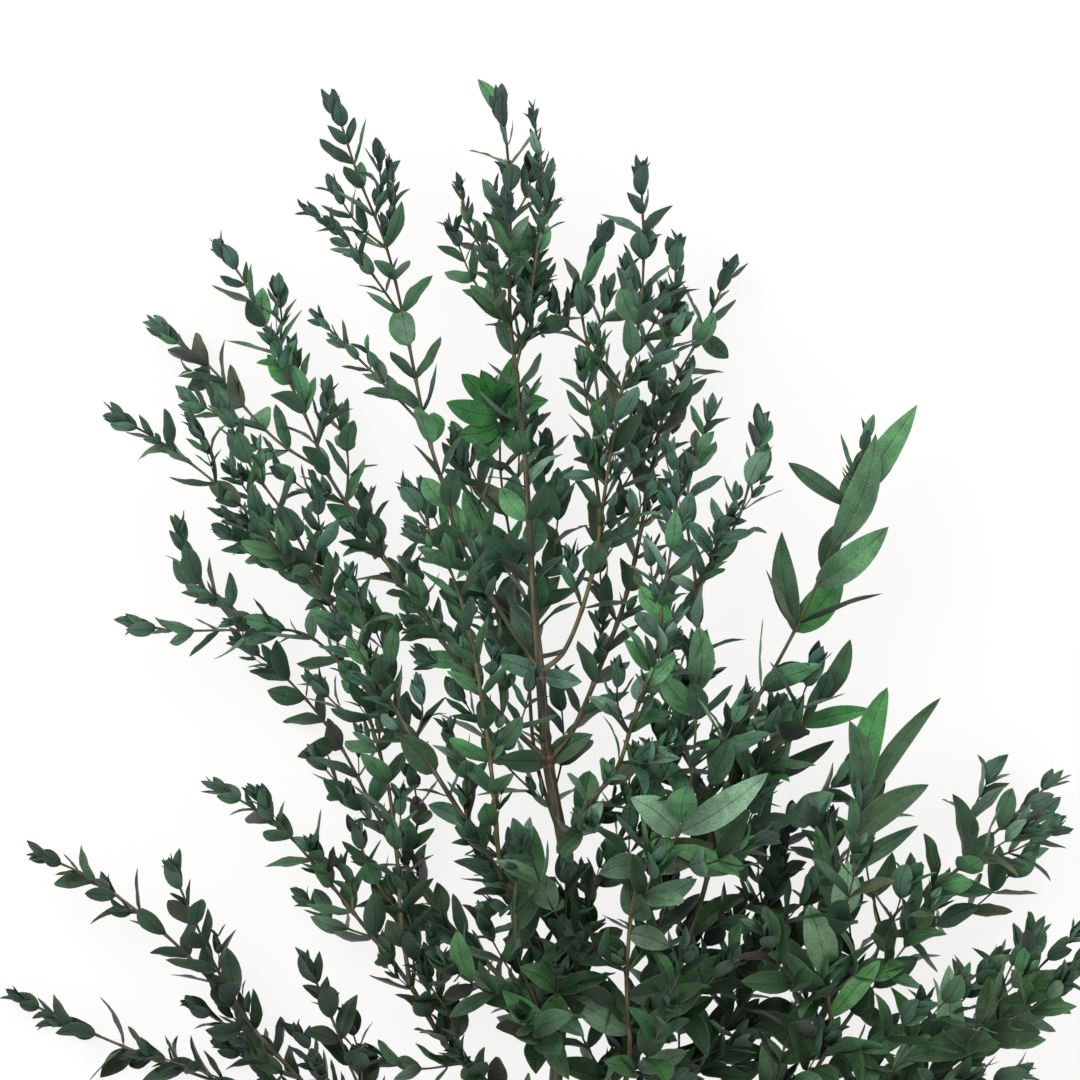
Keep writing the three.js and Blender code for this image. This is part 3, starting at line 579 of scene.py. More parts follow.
# Short sprigs in the axils of ripe leaves, each a thin stalk with small leaves in pairs
sprig = {
    "share": 0.2,  # of the axils that carry one
    "ripeFrom": 0.55,
    "keyStep": 0.5,
    "long": (6.0, 19.0),
    "lean": (12, 32),
    "asideSwing": 0.5,
    "pairsAt": (0.5, 1.0),  # as shares of the stalk
    "leafLong": (10.5, 8.5),
    "leafWide": 0.42,
    "leafLean": (34, 26),
    "ripe": 0.4,
    "radius": (0.32, 0.2),
    "sides": 5,
}
# The closed young growth at the very tip of a shoot: two pairs, so far behind the tip, as long
# as these shares of a ripe leaf
tipBunch = {"back": (3.6, 0.4), "shares": (0.6, 0.46), "longest": 24, "leafWide": 0.42,
            "leafLean": (27, 13)}


# Small leaves in pairs along straight stalks: each array has one value for each stalk
def stalkLeaves(start, along, long, key, plan, spots, ripe):
    level, upright = squareTo(along)
    pairStep, sideStep = stalk["keySteps"]
    made = []
    for pair, spot in enumerate(spots):
        for side in (0, 1):
            own = key + pairStep * pair + sideStep * side
            aside = side * 180 + swing(own, "stalkSwing", stalk["turnSwing"])
            turned = np.radians(draw(key, "stalkTurn") * 360 + pair * stalk["pairTurn"] + aside)
            lean = np.radians(plan["leafLean"][pair] + swing(own, "stalkLean", stalk["leanSwing"]))
            twist = np.radians(swing(own, "stalkTwist", stalk["twist"]))
            size = plan["leafLong"][pair] * between(stalk["long"], draw(own, "stalkLong"))
            made.append({
                **standing(along, level, upright, turned, lean, twist),
                "foot": start + along * (long * spot)[:, None],
                "shift": np.zeros_like(along),
                "long": size,
                "wide": size * plan["leafWide"] * between(stalk["wide"], draw(own, "stalkWide")),
                "bend": between(stalk["bend"], draw(own, "stalkBend")),
                "fold": np.radians(between(stalk["fold"], draw(own, "stalkFold"))),
                "ripe": np.full(len(key), ripe),
                "key": own,
                "named": np.full(len(key), -1),
            })
    return joined(made)


# The sprigs of a shoot: their stalks, and all their leaves
def sprigsOf(leaves):
    hosts = (leaves["ripe"] > sprig["ripeFrom"]) & (draw(leaves["key"], "sprig") < sprig["share"])
    host = chosen(leaves, hosts)
    key = host["key"] + sprig["keyStep"]
    long = between(sprig["long"], draw(key, "sprigLong"))
    lean = between(np.radians(sprig["lean"]), draw(key, "sprigLean"))[:, None]
    start = host["foot"] + host["shift"]
    along = unit(host["stemAlong"] * np.cos(lean) + host["outward"] * np.sin(lean)
                 + host["across"] * swing(key, "sprigAside", sprig["asideSwing"])[:, None])
    twigs = stalkLeaves(start, along, long, key, sprig, sprig["pairsAt"], sprig["ripe"])
    return {"start": start, "along": along, "long": long}, twigs


# The pairs on the foot of a shoot, which the solids leave bare, down to the photo's lower edge
lowerLeaves = {
    "from": 9.0,  # the shoot's own foot stays bare
    "below": -118.0,  # the arms of the upper ringed nodes are bare
    "above": (-252.0, -292.0),  # by a draw for each shoot
    "crowd": 0.8,  # of the usual space between pairs
    "habit": {"small": "round", "fine": "fine", "round": "round", "large": "broad", "broad": "round"},
}
# Leafy side shoots of the second order, in the axils of pairs well behind the tip
laterals = {
    "lean": (30, 54),
    "turnSwing": 50,
    "keyStep": 0.037,
    "upturn": 0.5,  # how far the outer half turns back towards the shoot's direction
    "radius": (0.55, 0.3),
    "bare": 5.0,
    "inside": ((-238.0, -300.0, 4.0), (240.0, 196.0, 114.0)),  # the box that they stay in
    # fromTip: none nearer the tip, and the full share beyond; ofRest: at most this share of
    # the shoot beyond their axil
    "small": {"share": 0.38, "long": (18.0, 50.0), "fromTip": (16.0, 80.0), "ofRest": 0.55,
              "habit": "side", "ripening": 26.0},
    "large": {"share": 0.95, "long": (40.0, 88.0), "fromTip": (8.0, 40.0), "ofRest": 0.8,
              "habit": "broadSide", "ripening": 30.0},
    "like": {"small": "small", "fine": "small", "round": "small", "large": "large", "broad": "large"},
}


# The habit of a shoot's lower leaves, and the distances of their pairs
def lowerPairs(shoot):
    last = pairDistances(shoot)[-1]
    habit = habits[lowerLeaves["habit"][shoot["kind"]]]
    gap = habit["gap"] * lowerLeaves["crowd"]
    distance = np.arange(last - gap, shoot.get("stripped", lowerLeaves["from"]), -gap)
    height = straightAt(shoot["run"], distance)[:, 1]
    edge = between(lowerLeaves["above"], draw(shoot["key"], "bareFoot"))
    return habit, distance[(height > edge) & (height < lowerLeaves["below"])]


# Side shoots of one shoot. Each starts in a pair's axil, leans out and turns back a little.
def lateralsOf(shoot):
    run = shoot["run"]
    distance = np.concatenate([pairDistances(shoot), lowerPairs(shoot)[1]])
    pair, side = bothSides(np.arange(len(distance)))
    distance = distance[pair]
    key = shoot["key"] * keys["shoot"] + keys["side"] + pair * 2 + side
    fromTip = run["total"] - distance
    plan = laterals[laterals["like"][shoot["kind"]]]
    none, full = plan["fromTip"]
    kept = draw(key, "side") < plan["share"] * smooth((fromTip - none) / (full - none))
    lowest, highest = shoot.get("sidesWithin", (-np.inf, np.inf))
    height = straightAt(run, distance)[:, 1]
    kept &= (height > lowest) & (height < highest)
    distance, pair, side, key, fromTip = [each[kept] for each in (distance, pair, side, key, fromTip)]
    long = np.minimum(between(plan["long"], draw(key, "sideLong")), fromTip * plan["ofRest"])[:, None]
    lean = between(np.radians(laterals["lean"]), draw(key, "sideLean"))[:, None]
    aside = side * 180 + swing(key, "sideTurn", laterals["turnSwing"])
    turned = np.radians(shoot["phase"] + pair * growth["pairTurn"] + aside)[:, None]
    along, level, upright = axesAt(run, distance, curveAt)
    aim = along * np.cos(lean) + (level * np.cos(turned) + upright * np.sin(turned)) * np.sin(lean)
    foot = curveAt(run, distance)
    back = unit(blend(aim, along, laterals["upturn"]))
    route = np.stack([foot, foot + aim * long / 2, foot + (aim + back) * long / 2], 1)
    route[:, 1:] = np.clip(route[:, 1:], *laterals["inside"])
    same = {"habit": habits[plan["habit"]], "ripening": plan["ripening"],
            "radius": laterals["radius"], "bare": laterals["bare"]}
    return [{**same, "key": shoot["key"] + laterals["keyStep"] * (i + 1), "run": runThrough(points),
             "phase": turn * growth["firstTurn"]}
            for i, (points, turn) in enumerate(zip(route, draw(key, "sidePhase")))]


# The bunch at a shoot's tip: one short stalk, from which its pairs are counted back
def bunchAt(shoot):
    run = shoot["run"]
    end = np.array([run["total"]])
    key = np.array([shoot["key"] * keys["shoot"] + keys["tip"]], float)
    leafLong = np.array(tipBunch["shares"]) * min(shoot["habit"]["long"], tipBunch["longest"])
    plan = {**tipBunch, "leafLong": leafLong}
    back = -np.array(tipBunch["back"])
    return stalkLeaves(curveAt(run, end), axesAt(run, end)[0], np.ones(1), key, plan, back, 0.0)


# Every leaf of one shoot and of its laterals, the stalks of its sprigs, and the laterals
def leavesOf(shoot, corners):
    distance = pairDistances(shoot)
    pair = np.arange(len(distance))
    solid = pair % shoot["habit"]["every"] == 0
    twice, side = bothSides(pair[solid])
    made = [leavesInSolid(pairedLeaves(shoot, distance[twice], twice, side, waysOut), corners)]
    if shoot.get("own"):
        own = handLeaves(shoot, shoot["own"], keys["own"])
        made.append(leavesInSolid(chosen(own, None), corners))
    if shoot.get("late"):
        made.append(handLeaves(shoot, shoot["late"], keys["late"]))
    made += [plainPairs(shoot, distance[i:i + 1], i) for i in pair[~solid]]
    habit, lower = lowerPairs(shoot)
    made.append(plainPairs({**shoot, "habit": habit}, lower, len(pair)))
    leaves = joined(made)
    stalks, twigLeaves = sprigsOf(leaves)
    sides = lateralsOf(shoot)
    made = [leaves, twigLeaves, bunchAt(shoot)]
    for each in sides:
        made += [plainPairs(each, pairDistances(each), 0), bunchAt(each)]
    return joined(made), stalks, sides


# Blades by size: how many steps their grid has along and across
blades = [
    {"over": 26.0, "stations": 12, "columns": 6},
    {"over": 9.0, "stations": 8, "columns": 4},
    {"over": 0.0, "stations": 5, "columns": 2},
]
blade = {
    "thickness": 0.38,
    "thinning": 0.5,  # towards the tip
    "ridge": 0.16,  # how far the midrib stands out below
    "endShare": 0.35,  # how far the grid's steps crowd at the ends
    # the powers of halfWidth: least, how much a draw adds, and how much a round leaf loses
    "footPower": (0.58, 0.22, 0.1),
    "tipPower": (0.76, 0.24, 0.14),
    "round": (0.45, 0.65),  # width against length at which a leaf starts to be, and is, round
    "dish": 1.2,  # power of the rise from the midrib to the margin
    "wave": 0.09,  # of the margin, against the half-width
    "waves": (1.2, 2.2),  # in a leaf's length
    "waveLag": 0.37,  # of one margin behind the midrib, and of the midrib behind the other
    "sickle": 0.08,  # sideways bow of the midrib, against the length
    "arch": 0.08,  # bow of the midrib out of its plane
    "pressed": 0.3,  # least height of the upper face over the surface, at the foot
    "paintedFootShade": (0.3, 0.9),  # painted shade where the leaf meets the stem: how much of its tint a leaf keeps at its foot
    # painted light lifts the tint towards the tip by the next value, and the painted shade gives way to
    # it over the share of the length after that
    "paintedTipLight": 1.12,
    "paintedShadeReach": 0.7,
    # a leaf's place in its material's patterns, by its key
    "patternStep": 3.1,
    "patterns": 97,
}


# One blade's grid. Every corner has its share s of the length, its v from -1 to 1 across, and
# its layer: 1 for the upper face, -1 for the lower one, 0 for the margin and the two ends.
def bladeGrid(stations, columns):
    t = np.linspace(0, 1, stations + 1)[1:-1]
    ring = blend(t, 0.5 - 0.5 * np.cos(np.pi * t), blade["endShare"])
    v = np.linspace(-1, 1, columns + 1)
    count = len(ring)
    top = 2 + np.arange(count * (columns + 1)).reshape(count, columns + 1)
    rib = 2 + top.size + np.arange(count)
    faces = [[0, top[0, c], top[0, c + 1]] for c in range(columns)]
    faces += [[1, top[-1, c + 1], top[-1, c]] for c in range(columns)]
    faces += [[top[j, c], top[j + 1, c], top[j + 1, c + 1], top[j, c + 1]]
              for j in range(count - 1) for c in range(columns)]
    upper = len(faces)
    left, right = top[:, 0], top[:, -1]
    faces += [[0, rib[0], left[0]], [0, right[0], rib[0]]]
    faces += [[1, left[-1], rib[-1]], [1, rib[-1], right[-1]]]
    for j in range(count - 1):
        faces.append([left[j], rib[j], rib[j + 1], left[j + 1]])
        faces.append([rib[j], right[j], right[j + 1], rib[j + 1]])
    layer = np.where(np.abs(v) < 1, 1, 0)
    kind = np.where(np.abs(v) == 1, 1, np.where(v == 0, 2, 0))  # margin 1, rib 2, ends 3
    return {
        "s": np.concatenate([[0, 1], np.repeat(ring, columns + 1), ring]),
        "v": np.concatenate([[0, 0], np.tile(v, count), np.zeros(count)]),
        "layer": np.concatenate([[0, 0], np.tile(layer, count), np.full(count, -1)]),
        "kind": np.concatenate([[3, 3], np.tile(kind, count), np.zeros(count, int)]),
        "faces": faces,
        "under": np.arange(len(faces)) >= upper,
    }


def endPower(end, key, rounder):
    least, more, less = blade[end]
    return least + more * draw(key, end) - less * rounder


# Half the width at a share s of the length: s to one power by 1-s to another. The powers
# differ from leaf to leaf, and round leaves have lower ones.
def halfWidth(leaves, s):
    key, wide = leaves["key"][:, None], leaves["wide"][:, None]
    oval, disc = blade["round"]
    rounder = smooth((wide / leaves["long"][:, None] - oval) / (disc - oval))
    foot, tip = endPower("footPower", key, rounder), endPower("tipPower", key, rounder)
    widest = foot / (foot + tip)
    return wide / 2 * (s / widest) ** foot * ((1 - s) / (1 - widest)) ** tip


# Places of all blades' corners: along the midrib, with its bend s squared and its bows
# s(1-s); then across by v times the half-width, raised by the fold and by a waved margin
def bladePoints(leaves, grid):
    s, v, layer = grid["s"], grid["v"], grid["layer"]
    key = leaves["key"][:, None]
    long, fold = leaves["long"][:, None], leaves["fold"][:, None]
    half = halfWidth(leaves, s)
    bow = s * (1 - s) * long * 4
    sickle = swing(key, "sickle", 2 * blade["sickle"]) * bow
    arch = swing(key, "arch", 2 * blade["arch"]) * bow
    turns = draw(key, "waveStart") + blade["waveLag"] * np.sign(v)
    turns = turns + s * between(blade["waves"], draw(key, "waves"))
    waved = blade["wave"] * half * v**2 * np.sin(2 * np.pi * turns)
    thick = blade["thickness"] / 2 * (1 - v**4) * (1 - blade["thinning"] * s)
    ridge = np.where((v == 0) & (layer < 0), blade["ridge"] * (1 - s), 0)
    aside = v * half * np.cos(fold) + sickle
    raised = np.abs(v) ** blade["dish"] * half * np.sin(fold)
    lift = leaves["bend"][:, None] * s**2 * long + arch + raised + waved + layer * (thick + ridge)
    points = (leaves["foot"][:, None] + leaves["shift"][:, None] * ((1 - s) ** 2)[:, None]
              + leaves["along"][:, None] * (s * long)[..., None]
              + leaves["across"][:, None] * aside[..., None] + leaves["face"][:, None] * lift[..., None])
    upward = layer * np.where(leaves["face"][:, 2:] < 0, -1, 1) > 0
    least = np.where(upward, blade["pressed"] * (1 - s), 0)
    points[..., 2] = np.maximum(points[..., 2], least)  # the lowest leaves lie flat
    return points, v * half


# Colours of the leaves, and how often each is met in a common spray, in a dusty one, in a
# dark one, in a fresh one and in a mixed one
leafColours = {
    "deep": ("#2e4930", 0.24, 0.12, 0.42, 0.16, 0.26),
    "forest": ("#3f6243", 0.31, 0.19, 0.31, 0.30, 0.26),
    "bluish": ("#496c59", 0.17, 0.21, 0.09, 0.06, 0.12),
    "middle": ("#4d7d52", 0.17, 0.20, 0.06, 0.30, 0.14),
    # bright stands in for light shining through a leaf from behind: painted light laid on as a colour
    "bright": ("#3a753e", 0.01, 0.03, 0.00, 0.08, 0.03),
    "dusty": ("#668670", 0.04, 0.17, 0.02, 0.05, 0.14),
    "olive": ("#505740", 0.04, 0.04, 0.03, 0.04, 0.03),
    "plum": ("#453b3c", 0.02, 0.04, 0.07, 0.01, 0.02),
}
namedColours = list(leafColours)
youngColours = {"dark": "#16262d", "violet": "#272c4a"}
moods = {"common": 1, "dusty": 2, "dark": 3, "fresh": 4, "mixed": 5}


# Young leaves are dark or violet, most of all at the top of the stem; old ones, low on it, are
# darker and yellower. Heights are in the routes' millimetres.
ageing = {
    "violet": 1.5,  # power of the draw between the young colours: more is rarer violet
    "youth": (0.6, 1.0),
    "lowYouth": (0.45, 1.0),
    "youngHeights": (90, 150),
    "oldHeights": (-60, -210),
    "bright": (1.55, 0.75),
    "spread": (0.6, 1.4),
    "brightest": 1.6,
    "oldShare": np.array([1.0, 1.0, 0.78]),
}


def climb(height, heights):  # from 0 at the first height to 1 at the second
    start, end = heights
    return smooth((height - start) / (end - start))


# Each leaf's colour by its own draw or its name, then aged and brightened
def tintsOf(leaves, mood):
    key, height = leaves["key"], leaves["foot"][:, 1]
    kinds = list(leafColours.values())
    shares = np.cumsum([kind[moods[mood[0]]] for kind in kinds])
    picked = np.minimum(np.searchsorted(shares, draw(key, "colour")), len(kinds) - 1)
    picked = np.where(leaves["named"] < 0, picked, leaves["named"])
    tint = np.array([colour(kind[0]) for kind in kinds])[picked]
    violet = draw(key, "violet")[:, None] ** ageing["violet"]
    young = blend(colour(youngColours["dark"]), colour(youngColours["violet"]), violet)
    youth = (1 - leaves["ripe"]) * between(ageing["youth"], draw(key, "youth"))
    youth = youth * between(ageing["lowYouth"], climb(height, ageing["youngHeights"]))
    old = climb(height, ageing["oldHeights"])
    bright = mood[1] * between(ageing["bright"], old) * between(ageing["spread"], draw(key, "bright"))
    tint = blend(tint, young, youth[:, None]) * np.minimum(bright, ageing["brightest"])[:, None]
    return tint * blend(1, ageing["oldShare"], old[:, None])


def toFrame(points):  # from the routes' millimetres to the frame's metres
    return (points - np.array(growth["middle"])) / 1000


# A mesh object from corners, faces and attributes, with its sharp edges found by a rule
def makePiece(name, points, faces, attributes, material, sharp=None):
    mesh = bpy.data.meshes.new(name)
    mesh.from_pydata(toFrame(points).tolist(), [], faces)
    kinds = {"FLOAT": "value", "FLOAT_VECTOR": "vector", "FLOAT_COLOR": "color"}
    for label, (kind, domain, values) in attributes.items():
        layer = mesh.attributes.new(label, kind, domain)
        layer.data.foreach_set(kinds[kind], np.asarray(values, np.float32).ravel())
    mesh.polygons.foreach_set("use_smooth", np.ones(len(mesh.polygons), bool))
    if sharp is not None:
        ends = np.empty(len(mesh.edges) * 2, np.int32)
        mesh.edges.foreach_get("vertices", ends)
        crease = mesh.attributes.new("sharp_edge", "BOOLEAN", "EDGE")
        crease.data.foreach_set("value", sharp(ends.reshape(-1, 2)))
    mesh.materials.append(material)
    mesh.update()
    piece = bpy.data.objects.new(name, mesh)
    bpy.context.scene.collection.objects.link(piece)
    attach(piece, "root")
    return piece


def opaque(tint):
    return np.append(tint, np.ones((len(tint), 1)), axis=1)


# One piece of all blades of a spray. Each face of a grid is laid out for all its blades at once.
def leafPiece(name, leaves, mood, material):
    faces, parts = [], []
    longest = np.inf
    offset = 0
    for size in blades:
        some = chosen(leaves, (leaves["long"] > size["over"]) & (leaves["long"] <= longest))
        longest = size["over"]
        count = len(some["long"])
        grid = bladeGrid(size["stations"], size["columns"])
        each = len(grid["s"])
        starts = offset + each * np.arange(count)[:, None]
        for face in grid["faces"]:
            faces += (starts + face).tolist()
        offset += count * each
        corners, across = bladePoints(some, grid)
        distance = grid["s"] * some["long"][:, None]
        pattern = np.tile(some["key"][:, None] * blade["patternStep"] % blade["patterns"], each)
        # Painted shade and light: each leaf darker at its foot, where it meets the stem, and lighter
        # towards its tip
        foot = between(blade["paintedFootShade"], draw(some["key"], "paintedFootShade"))[:, None]
        shades = blend(foot, blade["paintedTipLight"], smooth(grid["s"] / blade["paintedShadeReach"]))
        parts.append({
            "points": corners.reshape(-1, 3),
            "kind": np.tile(grid["kind"], count),
            "under": np.repeat(grid["under"], count),
            "aside": np.abs(across).ravel(),
            "rim": np.tile(np.abs(grid["v"]), count),
            "place": np.stack([across, distance, pattern], -1).reshape(-1, 3),
            "tint": (tintsOf(some, mood)[:, None] * shades[..., None]).reshape(-1, 3),
        })
    made = joined(parts)

    def sharp(ends):  # the margin and the rib, up to the two ends
        a, b = made["kind"][ends[:, 0]], made["kind"][ends[:, 1]]
        return ((a == b) & (a > 0) & (a < 3)) | ((a == 3) & (b > 0)) | ((b == 3) & (a > 0))

    attributes = {
        "leafTintAndPaintedLight": ("FLOAT_COLOR", "POINT", opaque(made["tint"])),
        "bladePlace": ("FLOAT_VECTOR", "POINT", made["place"]),
        "ribAside": ("FLOAT", "POINT", made["aside"]),
        "bladeRim": ("FLOAT", "POINT", made["rim"]),
        "underSide": ("FLOAT", "FACE", made["under"]),
    }
    return makePiece(name, made["points"], faces, attributes, material, sharp)


# Rings round a line: radius and tint for each, closed by a flat face at both ends
def tube(centres, level, upright, radius, tint, sides, slope=None):
    angle = (np.arange(sides) + 0.5) / sides * 2 * np.pi - np.pi / 2
    across = radius[:, None] * np.cos(angle)
    height = radius[:, None] * np.sin(angle)
    points = centres[:, None] + level[:, None] * across[..., None] + upright[:, None] * height[..., None]
    if slope is not None:  # the slanted cut: rings moved along the stem by their height
        points += slope[:, None, None] * height[..., None] * np.cross(upright, level)[:, None]
    points[..., 2] = np.maximum(points[..., 2], 0)
    return {"points": points, "across": across, "height": height, "tint": tint}


# One piece of several tubes; its patterns follow the wood, and start elsewhere on each tube
def tubePiece(name, tubes, material):
    faces, parts = [], []
    offset = 0
    for each in tubes:
        rings, sides = each["points"].shape[:2]
        ring = offset + np.arange(rings * sides).reshape(rings, sides)
        beside = np.roll(ring, -1, axis=1)
        quads = np.stack([ring[:-1], ring[1:], beside[1:], beside[:-1]], -1)
        faces += quads.reshape(-1, 4).tolist()
        faces += [ring[0].tolist(), ring[-1][::-1].tolist()]
        steps = np.linalg.norm(np.diff(each["points"].mean(axis=1), axis=0), axis=1)
        along = np.broadcast_to(np.append(0, np.cumsum(steps))[:, None], (rings, sides)) + offset
        parts.append({
            "points": each["points"].reshape(-1, 3),
            "tint": np.repeat(each["tint"], sides, axis=0),
            "place": np.stack([each["across"], each["height"], along], -1).reshape(-1, 3),
        })
        offset += rings * sides
    made = joined(parts)
    attributes = {
        "barkTint": ("FLOAT_COLOR", "POINT", opaque(made["tint"])),
        "barkPlace": ("FLOAT_VECTOR", "POINT", made["place"]),
    }
    return makePiece(name, made["points"], faces, attributes, material)


# Colours of bark, and the radii at which it has the four plain ones
barkColours = {
    "tip": "#2b2b34", "young": "#363d33", "olive": "#484636", "old": "#4e4a3a",
    "joint": "#67402f", "sunny": "#6c6840", "scar": "#a58e6a",
    "cutWood": "#b79a72", "cutRim": "#41332a", "pith": "#7d6247",
}
barkRadii = {"tip": 0.3, "young": 0.55, "olive": 1.0, "old": 1.9}
twig = {
    "step": 2.5,
    "leastRings": 4,
    "sides": 8,
    "lateralSides": 6,
    "swell": 0.35,  # where leaves stand
    "swellReach": 1.3,
    "flare": 0.5,  # at the foot
    "flareReach": 4.0,
    "endShare": 0.4,  # of the last ring's radius
    "jointTint": 0.25,
    "sunny": 0.6,  # at most this share of yellower bark
}


def barkTints(radius):
    shades = np.array([colour(barkColours[kind]) for kind in barkRadii])
    return np.stack([np.interp(radius, list(barkRadii.values()), shades[:, i]) for i in range(3)], -1)


def bell(distance, width):  # 1 at no distance, and falling off with its square
    return np.exp(-(distance / width) ** 2)


# The wood of a shoot: tapered, swollen where leaves stand and at its foot
def twigTube(shoot, sides=twig["sides"]):
    run = shoot["run"]
    distance = np.linspace(0, run["total"], max(int(run["total"] / twig["step"]), twig["leastRings"]))
    near = np.abs(distance[:, None] - pairDistances(shoot)).min(axis=1)
    knuckle = bell(near, twig["swellReach"])
    radius = radiusOf(shoot, distance)
    sunny = twig["sunny"] * draw(shoot["key"], "sunny")
    tint = blend(barkTints(radius), colour(barkColours["sunny"]), sunny)
    tint = blend(tint, colour(barkColours["joint"]), twig["jointTint"] * knuckle[:, None])
    flare = twig["flare"] * np.exp(-distance / twig["flareReach"])
    radius = radius * (1 + twig["swell"] * knuckle + flare)
    radius[-1] *= twig["endShare"]
    level, upright = axesAt(run, distance, curveAt)[1:]
    return tube(curveAt(run, distance), level, upright, radius, tint, sides)


# Thin straight stalks of the sprigs
def stalkTubes(stalks):
    share = np.array([0.0, 0.5, 1.0])
    radius = between(sprig["radius"], share)
    tint = barkTints(radius)
    tubes = []
    for start, along, long in zip(stalks["start"], stalks["along"], stalks["long"]):
        level, upright = [np.tile(axis, (len(share), 1)) for axis in squareTo(along)]
        centres = start + along * (share * long)[:, None]
        tubes.append(tube(centres, level, upright, radius, tint, sprig["sides"]))
    return tubes


# The main stem's wood: its radius between the points of its route, swollen at its collars,
# with long shallow flutes round it; rings of the slanted cut come first
def mainTube(run):
    nodes = run["toPoint"][list(mainStem["nodes"].values())]
    rings = [np.arange(0, run["total"], mainStem["step"]), [run["total"]],
             (nodes[:, None] + mainStem["collarSteps"]).ravel()]
    distance = np.unique(np.concatenate(rings))
    near = np.abs(distance[:, None] - nodes).min(axis=1)
    collar = smooth(1 - near / mainStem["collarReach"])
    radius = np.interp(distance, run["toPoint"], [point[3] for point in mainStem["route"]])
    off, width, share = mainStem["ring"]
    brown = np.minimum(bell(near - off, width) * share + collar * mainStem["collarTint"], 1)
    tint = blend(barkTints(radius), colour(barkColours["joint"]), brown[:, None])
    off, width, share = mainStem["scar"]
    tint = blend(tint, colour(barkColours["scar"]), bell(near - off, width)[:, None] * share)
    radius = radius * (1 + mainStem["collarSwell"] * collar)
    radius = radius * (1 + sum(depth * np.sin(distance * turn) for depth, turn in mainStem["flutes"]))
    cut = np.array([share for share, kind in mainStem["cutFace"]])
    cutTint = [colour(barkColours[kind]) for share, kind in mainStem["cutFace"]]
    distance = np.append(np.zeros(len(cut)), distance)
    radius = np.append(cut * radius[0], radius)
    tint = np.concatenate([cutTint, tint])
    slope = np.where(distance == 0, mainStem["cutSlope"], 0.0)
    level, upright = axesAt(run, distance, curveAt)[1:]
    return tube(curveAt(run, distance), level, upright, radius, tint, mainStem["sides"], slope)


def nodeCorners(name):  # a solid's corners, in the routes' millimetres
    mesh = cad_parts[name].data
    corners = np.empty(len(mesh.vertices) * 3, np.float32)
    mesh.vertices.foreach_get("co", corners)
    return corners.reshape(-1, 3).astype(float) * 1000 + np.array(growth["middle"])


# Small helpers for the node materials: each adds a node and gives its output
class Shader:
    def __init__(self, name):
        self.material = bpy.data.materials.new(name)
        self.material.use_nodes = True
        self.tree = self.material.node_tree
        self.surface = self.tree.nodes["Principled BSDF"]

    def node(self, kind, **settings):
        made = self.tree.nodes.new(kind)
        for label, value in settings.items():
            setattr(made, label, value)
        return made

    def link(self, source, target):
        self.tree.links.new(source, target)

    def attribute(self, name, output):
        return self.node("ShaderNodeAttribute", attribute_name=name).outputs[output]

    def noise(self, place, scale, detail):
        made = self.node("ShaderNodeTexNoise")
        made.inputs["Scale"].default_value = scale
        made.inputs["Detail"].default_value = detail
        self.link(place, made.inputs["Vector"])
        return made.outputs["Fac"]

    def math(self, operation, first, second=0.0):
        made = self.node("ShaderNodeMath", operation=operation)
        for value, socket in zip((first, second), made.inputs):
            if isinstance(value, float):
                socket.default_value = value
            else:
                self.link(value, socket)
        return made.outputs[0]

    def spread(self, value, low, high, to=(0.0, 1.0)):  # the range low to high, widened to another
        made = self.node("ShaderNodeMapRange")
        for label, number in zip(("From Min", "From Max", "To Min", "To Max"), (low, high, *to)):
            made.inputs[label].default_value = number
        self.link(value, made.inputs["Value"])
        return made.outputs["Result"]

    def mix(self, share, base, other, way="MIX"):  # the node has further sockets for plain numbers
        made = self.node("ShaderNodeMix", data_type="RGBA", blend_type=way)
        for value, socket in zip((share, base, other), (made.inputs[0], made.inputs[6], made.inputs[7])):
            if isinstance(value, (float, tuple)):
                socket.default_value = value
            else:
                self.link(value, socket)
        return made.outputs[2]

    def bump(self, height, strength, distance):
        made = self.node("ShaderNodeBump")
        made.inputs["Strength"].default_value = strength
        made.inputs["Distance"].default_value = distance
        self.link(height, made.inputs["Height"])
        self.link(made.outputs["Normal"], self.surface.inputs["Normal"])

    def finish(self, tint, roughness, gloss):
        self.link(tint, self.surface.inputs["Base Color"])
        self.link(roughness, self.surface.inputs["Roughness"])
        self.surface.inputs["Specular IOR Level"].default_value = gloss
        return self.material


def shade(code):  # a hex colour for a node's socket
    return (*colour(code), 1.0)


unevenness = (0.3, 0.7)  # the range of a noise over which the roughness changes


# Dried leaf: the leaf's own tint with painted shade at its foot and painted light towards its tip,
# clouded, with a fine dark midrib, faint side veins that leave it at a slant, specks, and a faint painted
# sheen along the margin; the lower face is paler and greyer.
# Scales and widths are in millimetres; a noise has its scale and detail, and where it starts
# and is full; shares say how much of a colour is laid on.
leafLook = {
    "shadow": "#1d3126", "speck": "#2c3a30", "midrib": "#14231a", "bloom": "#5b7a6c", "margin": "#86a488",
    "cloud": (0.12, 2.0), "cloudRange": (0.4, 0.64), "cloudShare": 0.4,
    "grain": (1.4, 4.0), "grainRange": (0.4, 0.64), "grainShare": 0.36,
    "veinGap": 2.1, "veinSlant": 0.8, "veinFrom": 0.75, "veinShare": 0.12,
    "bloomShare": 0.2,
    "ribWidth": (0.08, 0.34), "fading": (0.12, 1.0), "fadingRange": (0.35, 0.6), "ribShare": (0.3, 0.75),
    # painted sheen: the margin colour, laid as a pale band along the rim from this share of the
    # half-width
    "rimSheenFrom": 0.86, "rimSheenShare": 0.16,
    "specks": (2.8, 1.0), "speckRange": (0.7, 0.76), "speckShare": 0.5,
    "roughness": (0.42, 0.6), "gloss": 0.28,
    "veinDepth": -0.6, "ribDepth": -1.5, "bump": (0.35, 0.00012),
}


